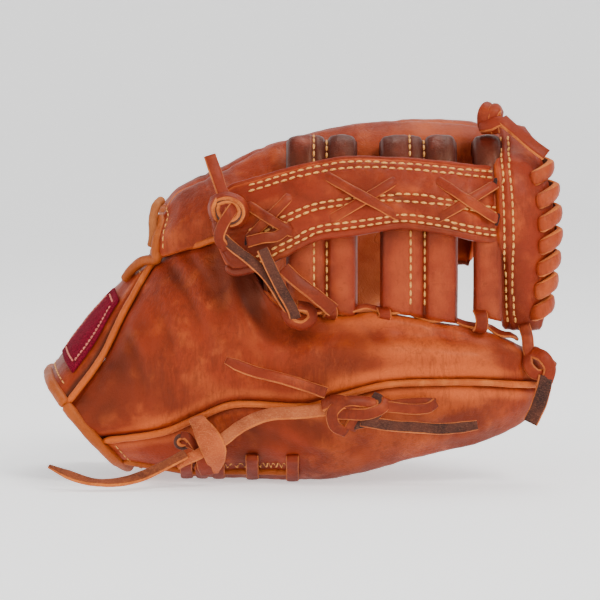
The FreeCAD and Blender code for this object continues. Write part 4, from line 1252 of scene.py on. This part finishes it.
def cord_line(route):
    """The route's NURBS spline, as points in metres."""
    curve = bpy.data.curves.new("route", "CURVE")
    curve.dimensions = "3D"
    curve.resolution_u = 16
    spline = curve.splines.new("NURBS")
    spline.points.add(len(route) - 1)
    for point, place_ in zip(spline.points, route):
        point.co = (*metres(place_), 1)
    spline.order_u = 3
    spline.use_endpoint_u = True
    holder = bpy.data.objects.new("route", curve)
    mesh = bpy.data.meshes.new_from_object(holder)
    points = np.array([tuple(v.co) for v in mesh.vertices])
    bpy.data.objects.remove(holder)
    bpy.data.meshes.remove(mesh)
    return points


def free_end(name, route, facing, look, move, slot, seed, end):
    """Flat lace end along its spline."""
    path = cord_line(route)
    line = drawn(path)
    t = np.linspace(0, 1, len(line))
    facing = np.array(facing, float)
    turn = unit(np.stack([np.interp(t, np.linspace(0, 1, len(facing)), facing[:, c]) for c in range(3)],
                         axis=1))
    turn = unit(turn + 0.08 * rough(line, 12, seed)[:, None])
    scale = np.interp(t, (0, 0.5, 0.92, 1), (0.95, 1, 0.95, end))
    scale = scale * (1 + 0.06 * rough(line, 10, seed + 1))
    piece = sweep(name + "_strip", line, turn, lace_profile(LACE_W, LACE_T, 0.3), look, LACE_PICKS, scale)
    settle(piece, slot, name, move=move)


def free_ends():
    free_end("heel_lace_tail", HEEL_TAIL, [(0, -0.8, 0.7), (0, -0.6, 0.8), (0, -0.4, 0.9), (0, -0.6, 0.8)],
             TAIL_LOOK, "hand", "suede_lace", 201, 0.45)
    free_end("thumb_lace_tail_1", THUMB_TAIL_1, [(0, -1, 0.3), (0, -1, 0.5), (0, -1, 0.2)], LACE_LOOK,
             "thumb", "lace_leather", 203, 0.6)
    free_end("thumb_lace_tail_2", THUMB_TAIL_2, [(0, -1, 0.1), (0, -1, 0.2), (0, -1, 0.1)], FLIPPED,
             "thumb", "lace_leather", 205, 0.85)

# ---------------------------------------------------------------- knots and other laces


def strand(text, width, thickness, seed, **more):
    """Lace from text: X, Y and Z of each point, and the way its face turns there."""
    rows = numbers(text, 6)
    return lace("strand", rows[:, :3], rows[:, 3:], width, thickness, seed=seed, **more)


def tie(name, slot, node, move, *laces):
    """One piece of several laces."""
    settle(merge(name, laces), slot, node, move=move)


EYELET_X, EYELET_Z = -65.2, 25      # middle of the eyelet in the heel


def knots_at_heel():
    loops = []
    hide = SURFACES["thumb_palm_hide"][0].reshape(-1, 3)
    hide = hide[hide[:, 1] < -20]
    facing = [(0, -0.4, 1), (0, -1, 0.5), (0, -1, 0.1), (0, -1, -0.2), (0, -0.5, -1), (0, 0, -1)]
    for n, (x, top) in enumerate(((-64, 11), (-55.5, 8), (-46, 9), (-27, 14), (-4.5, 14))):
        route = []
        for z, out in ((top + 2, -0.6), (top, 1.9), (top * 0.62, 2.8), (top * 0.3, 2.4), (0.6, 1.2),
                       (0.4, -5)):
            close = hide[np.argsort((hide[:, 0] - x) ** 2 + (hide[:, 2] - z) ** 2)[:12]]
            route.append((x, close[:, 1].min() - out, z))
        loops.append(lace("heel_loop", route, facing, 7.2, 2.6, seed=210 + n, cup=0.5))
    tie("heel_whip_lacing", "lace_leather", "heel_lacing", "hand", *loops)
    tie("heel_suede_wrap", "suede_lace", "heel_wrap_lace", "hand",
        strand("""-57.8 -76 38 -0.3 -0.4 1   -56.1 -82 36.3 -0.2 -1 0.6   -51.7 -87 29.7 0 -1 0.2
-47.9 -87 22 0.1 -1 -0.2   -46.8 -82 14.9 0.1 -1 -0.5   -47.3 -73 7.2 0 -0.8 -0.7""",
               13.0, 2.6, 221, look=TAN_LOOK, cup=0.7, grow=(0.62, 0.78, 1.0, 1.05, 0.75, 0.3)),
        strand("""-47.9 -84 23.1 0 -1 0.2   -41.8 -86 27.5 0 -1 0.4   -31.4 -86.5 35.2 0 -1 0.6
-17.6 -85.5 40.7 0 -1 0.6   -1.1 -85 41.8 0 -1 0.4   16.5 -87 44 0 -1 0.3""",
               7.2, 2.4, 223, look=[TAIL, LACE_CUT, LACE]),
        strand("""-51.7 -82 22 0 -1 0.2   -53.4 -82 16.5 0 -1 -0.1   -52.8 -78 11 0 -1 -0.5
-51.2 -72 6.6 0 -0.6 -1""", 8.4, 2.4, 222))
    around = [(EYELET_X + 3.3 * math.cos(t), EYELET_Z + 3.0 * math.sin(t))
              for t in np.linspace(0, math.tau, 9)]
    tie("heel_eyelet_knot", "suede_lace", "heel_knot", "hand",
        lace("eyelet", [(x, -78.5, z) for x, z in around],
             [(x - EYELET_X, -2.5, z - EYELET_Z) for x, z in around],
             3.6, 2.2, FLIPPED, 229, step=0.8, closed=True),
        strand("""-57.2 -79 20.9 0.2 -1 0.4   -60 -81 25.9 0.1 -1 0.6   -62.7 -80.5 28.6 0 -1 0.6
-65.5 -79 28.6 -0.6 -1 0.4""", 4.4, 2.2, 225),
        strand("""-67.1 -77 22.6 0 -1 0.2   -62.7 -79 24.2 0 -1 0.2   -58.3 -79.5 22.6 0 -1 0.2""",
               4.6, 2.4, 228),
        strand("""-52.3 -82.5 20.9 0 -1 0.5   -57.2 -84 18.2 0 -1 0.5   -62.2 -84 16 0 -1 0.5
-68.2 -83.5 12.7 0 -1 0.6""", 6.0, 2.4, 226, look=TAN_LOOK))


def knots_at_thumb():
    """Square knot below the thumb seam, the strand that runs on from it, its loop and the knot at the tip."""
    tie("thumb_square_knot", "lace_leather", "thumb_lace_knot", "thumb",
        strand("""12.1 -87.5 46.2 0 -1 0.6   18.7 -91.5 49 0 -1 0.5   26.4 -93 47.3 0.2 -1 0.2
30.8 -92 40.7 0.3 -1 0   27 -89.5 33 0.2 -1 -0.4""", 7.6, 2.8, 231, cup=0.7),
        strand("""25.3 -88.5 31.4 0 -1 -0.4   18.7 -91.5 35.2 -0.2 -1 0   17.6 -93 42.9 -0.2 -1 0.2
24.2 -93 48.4 0 -1 0.5   34.1 -91.5 48.4 0 -1 0.5   42.9 -89.5 46.2 0 -1 0.4""",
               7.0, 2.6, 232, cup=0.6),
        strand("""14.3 -89 41.8 0 -1 0.1   24.8 -94 41.8 0 -1 0.1   36.3 -94 41.8 0.1 -1 0
45.1 -91 45.1 0.3 -1 0.2   47.3 -88 49.5 0.4 -1 0.6""", 6.4, 2.6, 233, cup=0.5),
        strand("""28.6 -90 35.2 0 -1 -0.3   36.3 -92 37.4 0.2 -1 0   42.9 -91.5 42.9 0.5 -1 0
44 -89 49 0.6 -1 0.5   39.6 -87 51.2 0 -1 1""", 5.6, 2.3, 234, look=FLIPPED))
    tie("thumb_lace_loop", "lace_leather", "thumb_lace_run", "thumb",
        strand("""41.2 -88.5 46.2 0 -1 0   50.6 -89.5 45.1 0 -1 0.1   61.6 -89 44 0 -1 0.2
69.9 -87.5 44.6 0.5 -1 0.2   74.2 -85.5 47.3 1 -0.6 0.3""", 5.8, 2.3, 236),
        strand("""74.2 -85 47.3 0 -1 0.4   67.1 -85.6 47.9 0 -1 0.4   57.2 -86 47.3 0 -1 0.4
46.2 -87 46.2 0 -1 0.4""", 5.0, 2.0, 237))
    tie("thumb_tip_lace_knot", "lace_leather", "thumb_tip_knot", "thumb",
        strand("""124.3 -56 88 0 -1 0.1   126 -59.5 81.4 0 -1 0.1   126.5 -62 74.8 0 -1 0.1
128.2 -64 69.3 0 -1 0.1""", 6.6, 2.4, 241),
        strand("""132 -58 74.8 -0.2 -0.6 1   126.5 -62.5 72.6 -0.6 -1 0.3   126 -66 66 -0.4 -1 0
130.9 -67.5 61.1 0 -1 -0.3   137.5 -65 62.7 0.4 -1 0   140.2 -60.5 68.2 0.8 -1 0.3""",
               6.2, 2.5, 242, cup=0.5),
        strand("""128.2 -63 73.7 0 -1 0.6   134.2 -67 71.5 0.2 -1 0.3   138.1 -68.5 64.9 0.3 -1 0
136.4 -68 57.2 0.2 -1 -0.2""", 7.2, 2.5, 243, cup=0.6),
        strand("""135.9 -68.5 60.5 0.3 -1 0   134.2 -69.5 52.8 0.1 -1 0   131.5 -70 44 -0.1 -1 0
127.1 -70 34.7 -0.2 -1 0""", 8.6, 2.2, 244, look=FLIPPED))


RING_X, RING_Z = -39.6, 153     # middle of the lace ring at the crotch


def knots_at_crotch():
    ring = numbers("""-47.3 159   -39.6 160.6   -32.5 157.3   -30.3 151.2   -33.6 145.2   -40.7 143.6
-46.8 147.4   -49 153.5   -47.3 159""", 2)
    inner = [(RING_X + (x - RING_X) * 0.72, z * 0.72 + RING_Z * 0.28) for x, z in ring]
    tie("crotch_lace_ring", "lace_leather", "crotch_ring_lace", WEB_BEND,
        lace("ring", [(x, -78.5 - 1.2 * math.sin(n), z) for n, (x, z) in enumerate(ring)],
             [(x - RING_X, -4, z - RING_Z) for x, z in ring], 6.0, 3.0, seed=251, closed=True),
        lace("ring", [(x, -80 + 1.0 * math.sin(n), z) for n, (x, z) in enumerate(inner)],
             [(x - RING_X, -3, z - RING_Z) for x, z in inner], 5.6, 2.4, FLIPPED, 249, closed=True),
        strand("""-47.3 -77 149.6 -1 -1 0   -45.7 -79.5 143 -0.8 -1 -0.3   -42.4 -80 138.6 0.2 -1 -0.4
-40.7 -80.5 145.2 0.6 -1 0   -39.1 -79 154 0.3 -1 0.5""", 4.6, 2.2, 252))
    tie("crotch_lace_strands", "lace_leather", "crotch_lace_ends", WEB_BEND,
        strand("""-40.7 -78 159 0.2 -1 0.2   -43.5 -75 163.9 0.3 -1 0.2   -46.2 -71 171.6 0.3 -1 0.1
-50.1 -68 182.6 0.2 -1 0""", 7.0, 2.4, 253),
        strand("""-43.5 -77 146.3 -0.6 -1 0   -42.9 -79.5 138.6 -0.5 -1 0.2   -36.3 -81 132 -0.2 -1 0.5
-26.4 -82 124.3 0 -1 0.5   -17.6 -82.5 115.5 0.1 -1 0.3   -9.9 -81.5 103.4 0.3 -1 0.2
-5.5 -80 96.8 0.4 -1 0.1""", 5.8, 2.4, 254, look=FLIPPED),
        strand("""-20.9 -84 131.5 0.2 -1 0.3   -16 -86 121 0.1 -1 0.3   -9.4 -86.5 107.8 0.1 -1 0.3
-4.4 -84.5 98.5 0.2 -1 0.2   -2.8 -82 93.5 0.2 -1 -0.4""", 6.4, 2.4, 255, look=FLIPPED),
        strand("""-36.3 -80.5 154.6 0.4 -1 0.2   -39.1 -84 150.7 0.3 -1 0.2   -42.9 -84.5 144.1 -0.1 -1 0.1
-44.6 -82 137 -0.3 -1 0   -40.7 -79 130.9 -0.2 -1 -0.3""", 6.2, 2.4, 259),
        strand("""-8.8 -80 98.5 -1 -1.4 0.2   -5.5 -81.5 91.3 -0.5 -1.4 -1   1.1 -82 89.1 0.3 -1.4 -1
6.6 -81.5 93 1 -1.4 0   5 -81 99 0.5 -1.4 1   -1.7 -82.5 100.7 -0.6 -1.4 1""",
               6.4, 2.6, 256, cup=0.8),
        strand("""-9.4 -84.5 121 0 -1 0.4   -2.2 -87 114.4 0 -1 0.5   7.7 -87.5 106.7 0 -1 0.5
18.2 -86 97.9 0 -1 0.3""", 7.8, 2.4, 257),
        strand("""-29.2 -79 135.3 0 -1 0.2   -20.9 -81.5 137.5 0 -1 0.2   -12.7 -80 138.6 0.1 -1 0.2
-5.5 -77 144.1 0.2 -1 0""", 6.2, 2.3, 258))


def knots_at_top():
    tie("web_top_knot", "lace_leather", "top_lace", "hand",
        strand("""104 -45 194.7 -0.7 -1 0   101.8 -49 200.2 -0.5 -1 0.1   102.3 -50.5 206.3 -0.3 -1 0.4
105.1 -48 209.6 0.2 -0.7 1   107.8 -45 206.8 0.6 -0.3 0.6""", 7.8, 2.8, 261),
        strand("""107.8 -46 194.7 -0.2 -1 0   106.2 -50 200.2 -0.1 -1 0.1   106.7 -51.5 205.7 0.1 -1 0.3
109.5 -49 208.5 0.4 -0.8 0.9   111.7 -46 204.6 0.9 -0.4 0.3""", 7.0, 2.8, 264),
        strand("""100.1 -49 198.6 -0.4 -1 0.4   104.5 -53 199.1 0 -1 0.5   110 -54 201.3 0.1 -1 0.6
114.4 -53 199.7 0.2 -1 0.6""", 7.0, 2.6, 262, cup=0.6),
        strand("""111.7 -52.5 202.4 0.2 -1 0.8   117.2 -56 197.5 0.2 -1 0.8   123.2 -59 192.5 0.2 -1 0.7
129.8 -61 187 0.2 -1 0.6   135.9 -62 182.6 0.2 -1 0.5""", 7.6, 2.6, 263))
    runs = []
    facing = [(0.2, 0, 1), (0.8, 0, 0.8), (1, 0, 0.1), (1, 0, -0.4), (0.5, 0, -1)]
    for n, (table, stop) in enumerate(((INDEX, 11.4), (MIDDLE, 11.4), (RING, 10.8))):
        for m, shift in enumerate((-5, 4)):
            y, s = section(table, stop)[1]
            route = [place(stop + dk, y + shift + dy, s + ds) for dk, dy, ds in (
                (-0.35, 3, 3.8), (0.25, 2.5, 1.0), (0.62, 2, -6), (0.55, 2, -12), (0.1, 3, -16))]
            runs.append(lace("fingertip", route, facing, 6.0, 2.2, seed=270 + 2 * n + m))
    tie("fingertip_loops", "lace_leather", "fingertip_lacing", "hand", *runs)


# ---------------------------------------------------------------- the scene


def main():
    for build in (make_camera, make_stage, free_ends, thumb_side, palm_side, finger_backs, wrist, welts,
                  bindings, heel_edge, web_spine, web_bands, web_tip, web_crosses, thumb_ridge_lacing,
                  knots_at_heel, knots_at_thumb, knots_at_crotch, knots_at_top):
        build()


main()
